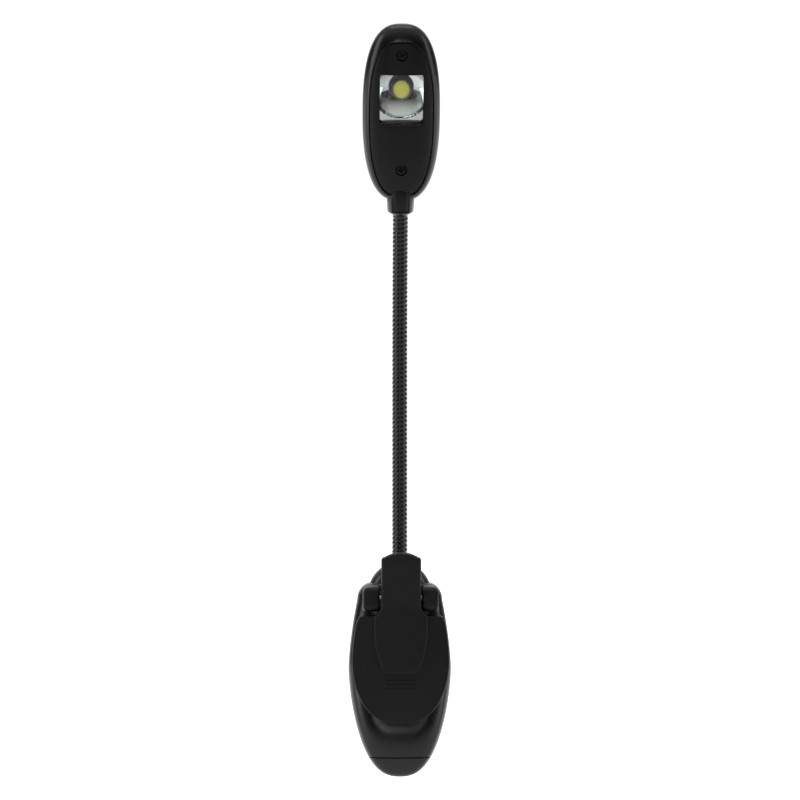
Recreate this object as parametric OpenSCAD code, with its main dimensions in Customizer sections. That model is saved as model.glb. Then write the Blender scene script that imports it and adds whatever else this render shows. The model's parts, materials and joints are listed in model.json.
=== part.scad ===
// Clip-on reading lamp: a two-cell base with a sprung clip, a gooseneck and a one-LED head.
// Millimetres, +Z up, the lamp's front towards -Y. The origin is the middle of the clip's pinch
// line: y = 0 is the plane where the two grip pads meet, and z = 0 is the line where they press.

/* [Base] */
// Greatest width of the base
body_w = 37; // [34:0.5:42]
// Thickness of the base from its front face to its flat back
body_d = 15; // [14.6:0.1:16]
// Height of the widest place above the nose
widest_h = 39.2; // [37:0.1:41]
// Height of the shoulders above the nose
shoulder_h = 64; // [63:0.1:65]
// Wall thickness of the two base shells
wall = 1.5; // [1.3:0.1:1.6]
// Height of the pinch line above the nose
pinch_h = 22; // [21:0.5:23]

/* [Clip] */
// Thickness of the jaw plate
jaw_t = 2.2; // [2:0.1:2.4]
// Height of the raised lever pad over the jaw plate
pad_raise = 2.2; // [2:0.1:2.4]
// Width of the thumb tab
tab_w = 14.2; // [13:0.1:14.6]
// Forward lean of the thumb tab, in degrees
tab_lean = 14; // [12:1:16]
// Radius of the hinge pin
pin_r = 1; // [0.9:0.05:1.1]

/* [Gooseneck] */
// Outer diameter of the gooseneck
neck_d = 5.15; // [5:0.05:5.2]
// Distance between two bending places
link_pitch = 10.4; // [9:0.1:12]
// Forward nod of the head at rest, in degrees
head_nod = 17; // [0:1:25]
// Pitch of the gooseneck's beads
bead_pitch = 1.6; // [1.5:0.05:1.7]

/* [Head] */
// Width of the head
head_w = 27.5; // [27:0.1:29]
// Height of the head's top over the foot of its collar
head_top = 69.7; // [69:0.1:71]
// Width of the light window
window_w = 15.4; // [14:0.1:15.6]
// Height of the light window
window_h = 17.8; // [16:0.1:18]
// How far the push button travels
button_travel = 1; // [0.6:0.1:1]

/* [Hidden] */
$fn = 48;
gap = 0.15;
mid_y = body_d - 6.5;
front_y = 1;
back_y = front_y + body_d;
front_depth = 8.2;
back_depth = 8.5;
front_flat = mid_y - front_y;
back_flat = back_y - mid_y;
seam_h = 7.2;
body_top = shoulder_h + 6;
dome_r = 11.4;
dome_h = 66;
dome_t = 12;
dome_edge = 4.5;
cavity_low = 9;
cavity_top = 66;

pivot_y = -3.7;
pivot_h = 65;
ear_r = 4.7;
ear_in = 7.9;
ear_out = 13.5;
jaw_tilt = 5.9;
jaw_low = 18.2;
jaw_top = 58.5;
jaw_widest = 43;
jaw_inner = 1.5;
raised_low = 36.4;
raised_top = 62.6;
pad_half = 9.7;
pad_widest = 52;
pad_neck = 59;
tab_back = 4.5;
tab_t = 2.4;
tab_top = 17.8;
spring_r = 2.1;
spring_wire_r = 0.4;
spring_half = 2.9;
spring_turns = 5.5;

cell_r = 5.25;
cell_low = 14;
cell_len = 44.5;
cell_x = 5.3;
door_half = 10.7;
door_low = 14;
door_top = 59;
door_t = 2;
door_pin_r = 0.6;
door_pin_len = 1;
screw_places = [[-11.6, 62.3], [11.6, 62.3], [0, 9.6]];
boss_r = 2.2;
strip_t = 0.4;
pad_pocket_half = 9.5;
pad_pocket_low = 19.3;
pad_pocket_top = 27.7;

neck_r = neck_d / 2;
neck_bore = 1.3;
joint_count = 12;
first_pivot = 83.1;
straight_links = 6;
nod_step = head_nod / (joint_count - straight_links);
ball_r = 2.45;
cup_r = 2.5;
cup_low = 1.25;
wire_r = 0.45;
wire_x = 0.55;
wire_gap = 0.5;
end_len = 5.7;

head_mid = 38;
head_low = 5;
front_bulge = 6.5;
back_bulge = 7.5;
collar_top = 8;
cover_inset = 2.4;
window_mid = 42.4;
led_h = window_mid + 2;
led_r = 2.6;
head_screws_h = [16.1, 58.2];
cup_floor = -3.85;
button_h = 42;
board_y = 1.6;

FIXED = ["base_front_shell", "base_back_shell", "battery_door", "cell_1", "cell_2",
    "contact_bridge", "contact_spring", "contact_plate", "driver_board", "inductor",
    "base_screws", "neck_ferrule", "neck_foot", "base_leads", "base_pad", "hinge_pin",
    "torsion_spring", "torsion_spring_arm", "clip_lever", "jaw_pad", "neck_end",
    "head_ferrule", "head_leads", "head_shell", "head_cover", "window_lens", "reflector",
    "led_package", "led_dome", "led_board", "resistor", "switch_body", "switch_button",
    "cover_screws"];

// ---- shapes shared by several pieces ----

function signed_pow(v, p) = sign(v) * pow(abs(v), p);

// Points of a rounded section from one angle to another, cut flat at front and back.
function section(w, front, back, n, from, to, step, front_cut, back_cut) =
    [for (a = [from:step:to])
        let (x = w * signed_pow(cos(a), 2 / n), s = signed_pow(sin(a), 2 / n))
        [x, s < 0 ? max(-front_cut, front * s) : min(back_cut, back * s)]];

// A closed solid through rings of equal point count, one above the other.
module loft(rings, heights) {
    n = len(rings[0]);
    m = len(rings);
    points = [for (i = [0:m - 1], p = rings[i]) [p[0], p[1], heights[i]]];
    side = [for (i = [0:m - 2], j = [0:n - 1])
        let (a = i * n + j, b = i * n + (j + 1) % n)
        each [[a, a + n, b + n], [a, b + n, b]]];
    caps = [[for (j = [0:n - 1]) j], [for (j = [n - 1:-1:0]) (m - 1) * n + j]];
    polyhedron(points, concat(side, caps), convexity = 6);
}

// A round wire along a path of points, with a ring of points at each one.
module wire(path, r, sides = 8) {
    n = len(path);
    function unit(v) = v / norm(v);
    function heading(i) = unit(path[min(i + 1, n - 1)] - path[max(i - 1, 0)]);
    function across(i) = unit(cross(heading(i), abs(heading(i)[0]) > 0.9 ? [0, 1, 0] : [1, 0, 0]));
    rings = [for (i = [0:n - 1])
        let (u = across(i), v = cross(heading(i), u))
        [for (k = [0:sides - 1]) path[i] + r * (cos(360 * k / sides) * u + sin(360 * k / sides) * v)]];
    points = [for (ring = rings, p = ring) p];
    side = [for (i = [0:n - 2], k = [0:sides - 1])
        let (a = i * sides + k, b = i * sides + (k + 1) % sides)
        each [[a, b + sides, b], [a, a + sides, b + sides]]];
    caps = [[for (k = [0:sides - 1]) k], [for (k = [sides - 1:-1:0]) (n - 1) * sides + k]];
    polyhedron(points, concat(side, caps), convexity = 8);
}

// A box between two corners.
module block(low, high) {
    translate(low) cube(high - low);
}

// A cylinder along X between two places.
module bar_x(x0, x1, r, y = 0, z = 0) {
    translate([x0, y, z]) rotate([0, 90, 0]) cylinder(r = r, h = x1 - x0);
}

// A cylinder along Y between two places.
module bar_y(y0, y1, r, x = 0, z = 0) {
    translate([x, y0, z]) rotate([-90, 0, 0]) cylinder(r = r, h = y1 - y0);
}

// Places a piece of the base, whose heights are counted from the nose.
module from_nose() {
    translate([0, 0, -pinch_h]) children();
}

// ---- base shells ----

nose_levels = [for (t = [4:8.6:91]) widest_h * (1 - cos(min(t, 90)))];
side_levels = [for (i = [1:4]) widest_h + (shoulder_h - widest_h) * i / 4];
top_levels = [for (t = [18:18:90]) shoulder_h + (body_top - shoulder_h) * sin(t)];
body_levels = concat(nose_levels, side_levels, top_levels);

function body_half_w(h) =
    h < widest_h ? body_w / 2 * pow(1 - pow((widest_h - h) / widest_h, 1.6), 1 / 2.6)
    : h < shoulder_h ? body_w / 2 - 3.2 * pow((h - widest_h) / (shoulder_h - widest_h), 1.5)
    : body_w / 2 - 8.7 + 5.5 * sqrt(max(0, 1 - pow((h - shoulder_h) / 6, 2)));
function nose_fade(h) = h < 20 ? 0.16 + 0.84 * pow(1 - pow((20 - h) / 20, 2.2), 1 / 2.2) : 1;
function top_fade(h) = h > shoulder_h ? 0.82 + 0.18 * sqrt(max(0, 1 - pow((h - shoulder_h) / 6, 2))) : 1;
function body_fade(h) = nose_fade(h) * top_fade(h);

function front_ring(h, t) =
    section(body_half_w(h) - t, front_depth * body_fade(h) - t, 1, 3, 180, 360, 10, front_flat - t, 1);
function back_ring(h, t) =
    section(body_half_w(h) - t, 1, back_depth * body_fade(h) - t, 4, 0, 180, 10, 1, back_flat - t);

// Half of the base's outer form, below or above the given heights.
module front_half(low, high) {
    levels = concat(low > 0 ? [low] : [], [for (h = body_levels) if (h > low && h < high) h], [high]);
    translate([0, mid_y, 0]) loft([for (h = levels) front_ring(h, 0)], levels);
}
module back_half() {
    translate([0, mid_y, 0]) loft([for (h = body_levels) back_ring(h, 0)], body_levels);
}

// The hollow inside each half, which runs past the parting plane.
cavity_levels = concat([cavity_low], [for (h = body_levels) if (h > cavity_low + 1 && h < cavity_top - 1) h], [cavity_top]);
module front_cavity() {
    rings = [for (h = cavity_levels)
        concat([[-(body_half_w(h) - wall), 1]], front_ring(h, wall), [[body_half_w(h) - wall, 1]])];
    translate([0, mid_y, 0]) loft(rings, cavity_levels);
}
module back_cavity() {
    rings = [for (h = cavity_levels)
        concat([[body_half_w(h) - wall, -1]], back_ring(h, wall), [[-(body_half_w(h) - wall), -1]])];
    translate([0, mid_y, 0]) loft(rings, cavity_levels);
}

// The round boss at the top that the gooseneck stands in.
module neck_dome() {
    translate([0, mid_y, dome_h]) rotate([90, 0, 0]) {
        cylinder(r = dome_r - dome_edge, h = dome_t, center = true);
        cylinder(r = dome_r, h = dome_t - 2 * dome_edge, center = true);
        for (side = [-1, 1])
            translate([0, 0, side * (dome_t / 2 - dome_edge)])
                rotate_extrude() translate([dome_r - dome_edge, 0]) circle(r = dome_edge);
    }
}

// The bore that the gooseneck's foot and its ferrule are clamped in.
module neck_socket() {
    translate([0, mid_y, cavity_top - 0.5]) {
        cylinder(r = neck_r + 0.1, h = 20);
        cylinder(r = 3.45, h = 10.6);
        cylinder(r = 4.5, h = 2.2);
    }
}

module screw_boss(y0, y1, r) {
    for (p = screw_places) bar_y(y0, y1, r, p[0], p[1]);
}

// One hinge lug, at the left or right of the thumb tab, with a rounded outer corner.
module ear(side) {
    corner = 3;
    mirror([side < 0 ? 1 : 0, 0, 0])
        intersection() {
            union() {
                bar_x(ear_in, ear_out, ear_r, pivot_y, pivot_h);
                block([ear_in, pivot_y, pivot_h - ear_r], [ear_out, front_y + 1, pivot_h + ear_r]);
            }
            union() {
                block([0, -20, 50], [ear_out - corner, 20, 80]);
                block([0, -20, 50], [ear_out, 20, pivot_h + ear_r - corner]);
                bar_y(-20, 20, corner, ear_out - corner, pivot_h + ear_r - corner);
            }
        }
}

module base_front_shell() {
    color("#1c1c1e") from_nose() difference() {
        union() {
            difference() {
                front_half(seam_h + gap, body_top);
                front_cavity();
            }
            intersection() {
                neck_dome();
                block([-20, -20, cavity_top - 0.4], [20, mid_y, 90]);
            }
            screw_boss(front_y + 1, mid_y, boss_r);
            for (side = [-1, 1]) ear(side);
        }
        neck_socket();
        screw_boss(4, mid_y + 1, 0.85);
        block([-pad_pocket_half, -1, pad_pocket_low], [pad_pocket_half, front_y + 0.8, pad_pocket_top]);
        bar_x(-20, 20, pin_r + 0.02, pivot_y, pivot_h);
    }
}

module base_back_shell() {
    pin_y = back_y - door_t / 2;
    swing_r = door_t / 2 + gap;
    socket_half = door_half + door_pin_len;
    color("#1c1c1e") from_nose() difference() {
        union() {
            difference() {
                back_half();
                back_cavity();
            }
            front_half(0, seam_h);
            intersection() {
                neck_dome();
                block([-20, mid_y, cavity_top - 0.4], [20, 40, 90]);
            }
            screw_boss(mid_y, back_y - 1, boss_r);
        }
        neck_socket();
        screw_boss(mid_y - 1, back_y + 1, 1);
        screw_boss(back_y - 1.2, back_y + 1, 2);
        block([-door_half, back_y - door_t - 1, door_low], [door_half, back_y + 1, door_top]);
        bar_x(-door_half, door_half, swing_r, pin_y, door_low);
        block([-door_half, pin_y, door_low - swing_r], [door_half, back_y + 1, door_low]);
        bar_x(-socket_half, socket_half, door_pin_r + 0.05, pin_y, door_low);
    }
}

// The battery door turns on two stub pins at its foot and has a finger notch at its head.
module battery_door() {
    half = door_half - gap;
    pin_y = back_y - door_t / 2;
    color("#1c1c1e") from_nose() difference() {
        union() {
            block([-half, back_y - door_t, door_low], [half, back_y, door_top - gap]);
            bar_x(-half, half, door_t / 2, pin_y, door_low);
            bar_x(-half - door_pin_len, half + door_pin_len, door_pin_r, pin_y, door_low);
        }
        translate([0, back_y + 2.4, door_top - 4]) rotate([0, 90, 0]) cylinder(r = 3.2, h = 9, center = true);
        for (i = [0:3]) block([-6, back_y - 0.3, 22 + 2.4 * i], [6, back_y + 1, 23 + 2.4 * i]);
    }
}

// ---- power ----

module cell(side) {
    turn = side > 0 ? 0 : 180;
    color("#c9a227") from_nose()
        translate([side * cell_x, mid_y, cell_low + cell_len / 2]) rotate([turn, 0, 0]) {
            translate([0, 0, -cell_len / 2]) cylinder(r = cell_r, h = cell_len - 1.2);
            translate([0, 0, cell_len / 2 - 1.2]) cylinder(r = 1.9, h = 1.2);
        }
}

// A conical coil from a plate up to a cell's flat end.
function cone_coil(r0, r1, rise, turns) =
    [for (t = [0:30:360 * turns])
        let (s = t / (360 * turns))
        [(r0 + (r1 - r0) * s) * cos(t), (r0 + (r1 - r0) * s) * sin(t), rise * s]];

// The strip across the foot of both cells, arched over the lowest screw boss.
module contact_bridge() {
    low = cavity_low + 0.4;
    bar = low + strip_t;
    color("silver") from_nose() {
        difference() {
            union() {
                block([-9.5, mid_y - 3.5, low], [9.5, mid_y + 3.5, bar]);
                block([-2.7, mid_y - 2, low], [2.7, mid_y + 2, low + 3]);
            }
            bar_y(mid_y - 5, mid_y + 5, boss_r + 0.1, 0, screw_places[2][1]);
        }
        translate([cell_x, mid_y, bar + gap]) wire(cone_coil(2.6, 1.9, 3.7, 3), 0.3, 6);
        translate([-cell_x, mid_y, bar]) cylinder(r = 1.8, h = cell_low - bar - 0.02);
    }
}

module contact_spring() {
    top = cell_low + cell_len;
    color("silver") from_nose() {
        block([-9.2, mid_y - 3.5, top + 2.3], [-1.2, mid_y + 3.5, top + 2.3 + strip_t]);
        translate([-cell_x, mid_y, top + 2.15]) mirror([0, 0, 1]) wire(cone_coil(3.4, 1.9, 1.8, 2), 0.3, 6);
    }
}

module contact_plate() {
    top = cell_low + cell_len;
    color("silver") from_nose() {
        block([1.2, mid_y - 3.5, top + 2.3], [9.2, mid_y + 3.5, top + 2.3 + strip_t]);
        translate([cell_x, mid_y, top + 0.02]) cylinder(r = 1.8, h = 2.28);
    }
}

module driver_board() {
    color("#1f6b3a") from_nose() block([-8.6, mid_y - 4.5, 61.9], [8.6, mid_y + 4.5, 62.9]);
}

module inductor() {
    color("#404044") from_nose() translate([5, mid_y, 62.9]) difference() {
        cylinder(r = 2.2, h = 2.6);
        translate([0, 0, 0.8]) difference() {
            cylinder(r = 3, h = 1);
            cylinder(r = 1.5, h = 1);
        }
    }
}

// A cross-head screw along Y, its head at y0 and its point towards the side given.
module screw(x, y0, z, dir, len) {
    head_r = 1.9;
    head_t = 1;
    translate([x, y0, z]) rotate([dir > 0 ? -90 : 90, 0, 0]) difference() {
        union() {
            cylinder(r = head_r, h = head_t);
            cylinder(r = 0.8, h = len);
        }
        for (a = [0, 90]) rotate([0, 0, a]) translate([-1.1, -0.2, -1]) cube([2.2, 0.4, 1.5]);
    }
}

module base_screws() {
    color("#3a3a3c") from_nose() for (p = screw_places) screw(p[0], back_y - 0.15, p[1], -1, 11);
}

// ---- gooseneck ----

module neck_ferrule() {
    color("#8f8f92") from_nose() translate([0, mid_y, cavity_top + 0.1]) difference() {
        union() {
            cylinder(r = 4.4, h = 1.2);
            cylinder(r = 3.35, h = 9.6);
        }
        translate([0, 0, -1]) cylinder(r = neck_r + 0.02, h = 12);
    }
}

// Half-outline of the beaded tube from one height to another, as points from the bottom up.
function beads(low, high) =
    let (count = max(1, floor((high - low) / bead_pitch)), step = (high - low) / count)
    [for (i = [0:count - 1]) each [
        [neck_r - 0.35, low + step * i],
        [neck_r, low + step * (i + 0.25)],
        [neck_r, low + step * (i + 0.75)]]];

// A length of gooseneck with a socket at its foot, unless it is the first, and a ball at its head,
// unless it is the last. Heights are counted from the lower pivot.
module neck_length(low, high, socket, ball) {
    bottom = socket ? cup_low : low;
    outline = concat([[neck_bore, bottom]], beads(bottom, high), [[neck_r - 0.35, high], [neck_bore, high]]);
    difference() {
        union() {
            rotate_extrude() polygon(outline);
            if (ball)
                translate([0, 0, high]) intersection() {
                    sphere(r = ball_r);
                    translate([0, 0, -1]) cylinder(r = 3, h = 4);
                }
        }
        if (socket) sphere(r = cup_r);
        if (ball) translate([0, 0, high - 1]) cylinder(r1 = neck_bore, r2 = 2.05, h = 2.3);
        if (ball) translate([0, 0, high + 1.2]) cylinder(r = 3, h = 3);
        translate([0, 0, low - 1]) cylinder(r = neck_bore, h = high - low + 1.01);
    }
}

function link_angle(i) = max(0, i - straight_links) * nod_step;
function link_y(i) = i <= 1 ? mid_y : link_y(i - 1) - link_pitch * sin(link_angle(i - 1));
function link_z(i) = i <= 1 ? first_pivot - pinch_h : link_z(i - 1) + link_pitch * cos(link_angle(i - 1));

// Places a length of the gooseneck: its lower pivot and its lean at rest.
module at_link(i) {
    translate([0, link_y(i), link_z(i)]) rotate([link_angle(i), 0, 0]) children();
}

module neck_link(i) {
    color("#151516") at_link(i) neck_length(0, link_pitch, true, true);
}

module two_leads(low, high) {
    for (side = [-1, 1]) translate([side * wire_x, 0, low]) cylinder(r = wire_r, h = high - low, $fn = 16);
}

module neck_leads(i) {
    color(i % 2 == 0 ? "#8c1d18" : "#7a1a16") at_link(i) two_leads(wire_gap, link_pitch - wire_gap);
}

module neck_foot() {
    foot = cavity_top + 0.1;
    color("#151516") from_nose() translate([0, mid_y, 0]) difference() {
        union() {
            translate([0, 0, foot]) cylinder(r = neck_r, h = 77 - foot);
            translate([0, 0, 77]) neck_length(0, first_pivot - 77, false, true);
        }
        translate([0, 0, foot - 1]) cylinder(r = neck_bore, h = 13);
    }
}

module neck_end() {
    color("#151516") at_link(joint_count) difference() {
        union() {
            neck_length(0, end_len, true, false);
            translate([0, 0, end_len]) cylinder(r = neck_r, h = 10);
        }
        translate([0, 0, end_len - 1]) cylinder(r = neck_bore, h = 12);
    }
}

module base_leads() {
    color("#8c1d18") from_nose() for (side = [-1, 1])
        wire([[side * 3, mid_y + 2, 63.2], [side * 2.4, mid_y + 1.6, 64.2], [side * 0.75, mid_y + 0.3, 65.4],
            [side * wire_x, mid_y, 67.2], [side * wire_x, mid_y, first_pivot - wire_gap]], wire_r);
}

// ---- clip ----

module hinge_pin() {
    color("#a8a8ab") from_nose() bar_x(-ear_out + 0.4, ear_out - 0.4, pin_r, pivot_y, pivot_h);
}

// The pad of the base, let into its front face.
module base_pad() {
    color("#2a2a2a") from_nose() difference() {
        block([-9.4, 0.12, 19.4], [9.4, front_y + 0.75, 27.6]);
        for (i = [0:3]) block([-10, -1, 20.7 + 1.9 * i], [10, 0.5, 21.3 + 1.9 * i]);
    }
}

module jaw_pad_shape(grow) {
    block([-8.6 - grow, -2.6 - grow, 19.8 - grow], [8.6 + grow, -0.12 + 3 * grow, 27.2 + grow]);
}

module jaw_pad() {
    color("#2a2a2a") from_nose() difference() {
        jaw_pad_shape(0);
        for (i = [0:3]) block([-10, -0.5, 20.7 + 1.7 * i], [10, 1, 21.3 + 1.7 * i]);
    }
}

// The coil turns back on itself about the hinge pin, its foot on the base's face.
coil_path = [for (t = [0:20:360 * spring_turns])
    [-spring_half + 2 * spring_half * t / (360 * spring_turns), spring_r * cos(t), -spring_r * sin(t)]];

module torsion_spring() {
    foot = [[-spring_half, 4.1, 4.2], [-spring_half, 2.6, 1.2]];
    color("#b5b5b8") from_nose() translate([0, pivot_y, pivot_h])
        wire(concat(foot, coil_path), spring_wire_r);
}

module torsion_spring_arm() {
    color("#b5b5b8") from_nose() translate([0, pivot_y, pivot_h])
        wire([[spring_half, -spring_r, 0.5], [spring_half, -3.2, 2.6], [spring_half, -5.5, 5.8]], spring_wire_r);
}

function jaw_half_w(h) =
    h < jaw_widest ? 17.4 * pow(max(0, 1 - pow((jaw_widest - h) / (jaw_widest - jaw_low), 1.95)), 1 / 2.55)
    : 17.4 - 2.1 * pow((h - jaw_widest) / (jaw_top - jaw_widest), 1.8);
function raised_half_w(h) =
    h < pad_widest ? pad_half - 3.4 * pow((pad_widest - h) / (pad_widest - raised_low), 1.5)
    : h < pad_neck ? pad_half
    : pad_half - (pad_half - tab_w / 2) * (1 - cos(180 * min(1, (h - pad_neck) / (raised_top - pad_neck)))) / 2;

// A flat outline that is the same on both sides, from half-widths at a list of heights.
module mirrored_outline(heights, widths) {
    n = len(heights);
    polygon(concat([for (i = [0:n - 1]) [widths[i], heights[i] - pinch_h]],
        [for (i = [n - 1:-1:0]) [-widths[i], heights[i] - pinch_h]]));
}

// Stands a flat outline up in the jaw's leaning plane, between two depths in front of the pads.
module in_jaw_plane(near, far) {
    translate([0, 0, pinch_h]) rotate([jaw_tilt, 0, 0])
        translate([0, -near, 0]) rotate([90, 0, 0]) linear_extrude(far - near) children();
}

module jaw_plate() {
    heights = concat([for (t = [2:8:90]) jaw_widest - (jaw_widest - jaw_low) * cos(t)],
        [for (i = [0:4]) jaw_widest + (jaw_top - jaw_widest) * i / 4]);
    in_jaw_plane(jaw_inner, jaw_inner + jaw_t)
        mirrored_outline(heights, [for (h = heights) jaw_half_w(h)]);
}

module raised_pad() {
    heights = concat([for (i = [0:6]) raised_low + (pad_widest - raised_low) * i / 6],
        [for (i = [0:6]) pad_neck + (raised_top - pad_neck) * i / 6], [raised_top + 1.6]);
    in_jaw_plane(jaw_inner + jaw_t - 0.5, jaw_inner + jaw_t + pad_raise)
        mirrored_outline(heights, [for (h = heights) raised_half_w(h)]);
    for (i = [0:2])
        in_jaw_plane(jaw_inner + jaw_t - 0.5, jaw_inner + jaw_t + 0.5)
            translate([-5.6, 31 + 1.6 * i - pinch_h]) square([11.2, 0.8]);
}

module thumb_tab() {
    half = tab_w / 2;
    arc_r = 12.4;
    translate([0, pivot_y, pivot_h]) rotate([tab_lean, 0, 0])
        translate([0, -tab_back, 0]) rotate([90, 0, 0]) linear_extrude(tab_t) polygon(concat(
            [[half, -4.5], [half, tab_top - 3]],
            [for (a = [55:-5:-55]) let (x = arc_r * sin(a)) if (abs(x) < half - 0.6)
                [x, tab_top - arc_r + arc_r * cos(a)]],
            [[-half, tab_top - 3], [-half, -4.5]]));
}

module clip_lever() {
    knuckle_in = 3.9;
    knuckle_out = tab_w / 2 - 0.2;
    knuckle_r = 3.8;
    color("#202022") from_nose() difference() {
        union() {
            jaw_plate();
            raised_pad();
            thumb_tab();
            block([-knuckle_out, -7.6, 57], [knuckle_out, -5.6, 61]);
            for (side = [-1, 1]) mirror([side < 0 ? 1 : 0, 0, 0])
                translate([0, pivot_y, pivot_h]) rotate([tab_lean, 0, 0]) {
                    bar_x(knuckle_in, knuckle_out, knuckle_r);
                    block([knuckle_in, -tab_back - 0.8, -3.2], [knuckle_out, 0, 3.2]);
                }
        }
        bar_x(-10, 10, pin_r + 0.06, pivot_y, pivot_h);
        jaw_pad_shape(0.02);
    }
}

// ---- head, in its own frame: the foot of the collar is its origin ----

module at_head() {
    at_link(joint_count) translate([0, 0, end_len]) children();
}

function head_half_len(h) = h > head_mid ? head_top - head_mid : head_mid - head_low;
function head_u(h) = min(1, abs(h - head_mid) / head_half_len(h));
function head_half_w(h) = head_w / 2 * pow(1 - pow(head_u(h), 2.5), 1 / 2.7);
function head_fade(h) = pow(1 - pow(head_u(h), 3), 1 / 2.6);
head_angles = [for (t = [-84:12:84]) t];
head_levels = [for (t = head_angles) head_mid + (t < 0 ? head_mid - head_low : head_top - head_mid) * sin(t)];

// The head's pebble form, taken in by a wall thickness all over.
module head_form(t) {
    rings = [for (h = head_levels)
        section(max(0.4, head_half_w(h) - t), max(0.3, front_bulge * head_fade(h) - t),
            max(0.3, back_bulge * head_fade(h) - t), 2.2, 0, 350, 10, 99, 99)];
    squeeze = (head_top - head_low - 2 * t) / (head_top - head_low);
    middle = (head_top + head_low) / 2;
    heights = [for (h = head_levels) middle + (h - middle) * squeeze];
    loft(rings, heights);
}

// The cover's outline, seen from the front, with its tongue down over the collar.
module cover_outline(grow) {
    top = head_top - 3.6;
    angles = [for (t = [-70:10:90]) t];
    heights = [for (t = angles) head_mid + (t < 0 ? head_mid - head_low - 2 : top - head_mid) * sin(t)];
    widths = [for (h = heights)
        max(0.6, (head_half_w(head_mid + (h - head_mid) * (h > head_mid ? (head_top - head_mid) / (top - head_mid) : 1.02))
            - cover_inset) + grow)];
    n = len(heights);
    polygon(concat([for (i = [0:n - 1]) [widths[i], heights[i]]],
        [for (i = [n - 1:-1:0]) [-widths[i], heights[i]]]));
    translate([-3.15 - grow, 1.6]) square([6.3 + 2 * grow, 10]);
}

module cover_prism(grow, back) {
    translate([0, back, 0]) rotate([90, 0, 0]) linear_extrude(20) cover_outline(grow);
}

module collar_form(grow) {
    cylinder(r1 = 2.9 + grow, r2 = 4.65 + grow, h = 1.3);
    translate([0, 0, 1.3]) cylinder(r1 = 4.65 + grow, r2 = 4.95 + grow, h = collar_top - 1.3);
}

module head_shell() {
    color("#1a1a1c") at_head() difference() {
        union() {
            difference() {
                union() {
                    head_form(0);
                    collar_form(0);
                }
                head_form(wall);
                cover_prism(0, -1.2);
            }
            for (h = head_screws_h) bar_y(cup_floor + 0.75 + gap / 2, back_bulge - 1.9, boss_r, 0, h);
        }
        for (h = head_screws_h) bar_y(-5, 2, 0.85, 0, h);
        translate([0, 0, -1]) cylinder(r = neck_r + 0.06, h = 12);
        translate([0, 0, 1.2]) cylinder(r = 3.3, h = 9);
        bar_y(3, 12, 3.6, 0, button_h);
    }
}

module head_cover() {
    color("#222224") at_head() difference() {
        union() {
            intersection() {
                difference() {
                    head_form(0.3);
                    head_form(wall + 0.3);
                }
                cover_prism(-0.12, -1.35);
            }
            for (h = head_screws_h) bar_y(cup_floor - 0.8, cup_floor + 0.75, boss_r + 0.4, 0, h);
            intersection() {
                difference() {
                    collar_form(-0.2);
                    translate([0, 0, -1]) cylinder(r = 3.4, h = 20);
                }
                block([-3.03, -8, 1.75], [3.03, -2, collar_top]);
            }
        }
        block([-window_w / 2, -20, window_mid - window_h / 2], [window_w / 2, 0, window_mid + window_h / 2]);
        for (h = head_screws_h) {
            bar_y(-10, 0, 1, 0, h);
            bar_y(-10, cup_floor, 2.05, 0, h);
        }
        cylinder(r = 3.4, h = collar_top + 2.4);
    }
}

module window_lens() {
    rim = 0.9;
    color([0.9, 0.95, 1, 0.3]) at_head() intersection() {
        difference() {
            head_form(wall + 0.34);
            head_form(wall + 1.34);
        }
        block([-window_w / 2 - rim, -20, window_mid - window_h / 2 - rim],
            [window_w / 2 + rim, 0, window_mid + window_h / 2 + rim]);
    }
}

// A bowl on a square foot: its dish widens as the square root of its depth.
module reflector() {
    depth = 3.4;
    low = 1.5;
    rim = 9.6;
    throat = 3.05;
    dish = [for (i = [0:8]) let (s = i / 8) [sqrt(throat * throat + (rim * rim - throat * throat) * s), depth * s]];
    color("#e6e8ea") at_head() difference() {
        block([-8, low - depth, window_mid - 9.2], [8, low, window_mid + 9.2]);
        translate([0, low, led_h]) rotate([90, 0, 0]) rotate_extrude()
            polygon(concat([[0, -1], [throat, -1]], dish, [[rim, depth + 1], [0, depth + 1]]));
    }
}

module led_package() {
    color("#f2f2ea") at_head() bar_y(0, board_y, led_r + 0.3, 0, led_h);
}

module led_dome() {
    color("#d9d878") at_head() difference() {
        translate([0, 0, led_h]) sphere(r = led_r);
        block([-4, 0, led_h - 4], [4, 4, led_h + 4]);
    }
}

module led_board() {
    color("#e8e8e4") at_head() block([-7.4, board_y, 30], [7.4, board_y + 1, 54]);
}

module resistor() {
    color("#2f6fa8") at_head() bar_x(-1.8, 1.8, 0.7, board_y + 1.7, 33.4);
}

module switch_body() {
    y = board_y + 1;
    color("#d8d8d4") at_head() difference() {
        block([-3.6, y, button_h - 3.6], [3.6, y + 1.4, button_h + 3.6]);
        bar_y(y + 0.2, y + 3, 1.7, 0, button_h);
    }
}

module switch_button() {
    color("#2b2b2e") at_head() difference() {
        union() {
            bar_y(board_y + 1.3 + button_travel, 8.2, 1.5, 0, button_h);
            bar_y(5.1, 5.6, 4.1, 0, button_h);
            bar_y(5.1, 8.6, 3.4, 0, button_h);
        }
        translate([0, 15.4, button_h]) sphere(r = 7.2);
    }
}

module cover_screws() {
    color("#3a3a3c") at_head() for (h = head_screws_h) screw(0, cup_floor - 1.02, h, 1, 5.6);
}

module head_ferrule() {
    color("#8f8f92") at_head() difference() {
        translate([0, 0, 1.3]) cylinder(r = 3.25, h = 8.5);
        cylinder(r = neck_r + 0.02, h = 12);
    }
}

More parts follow.
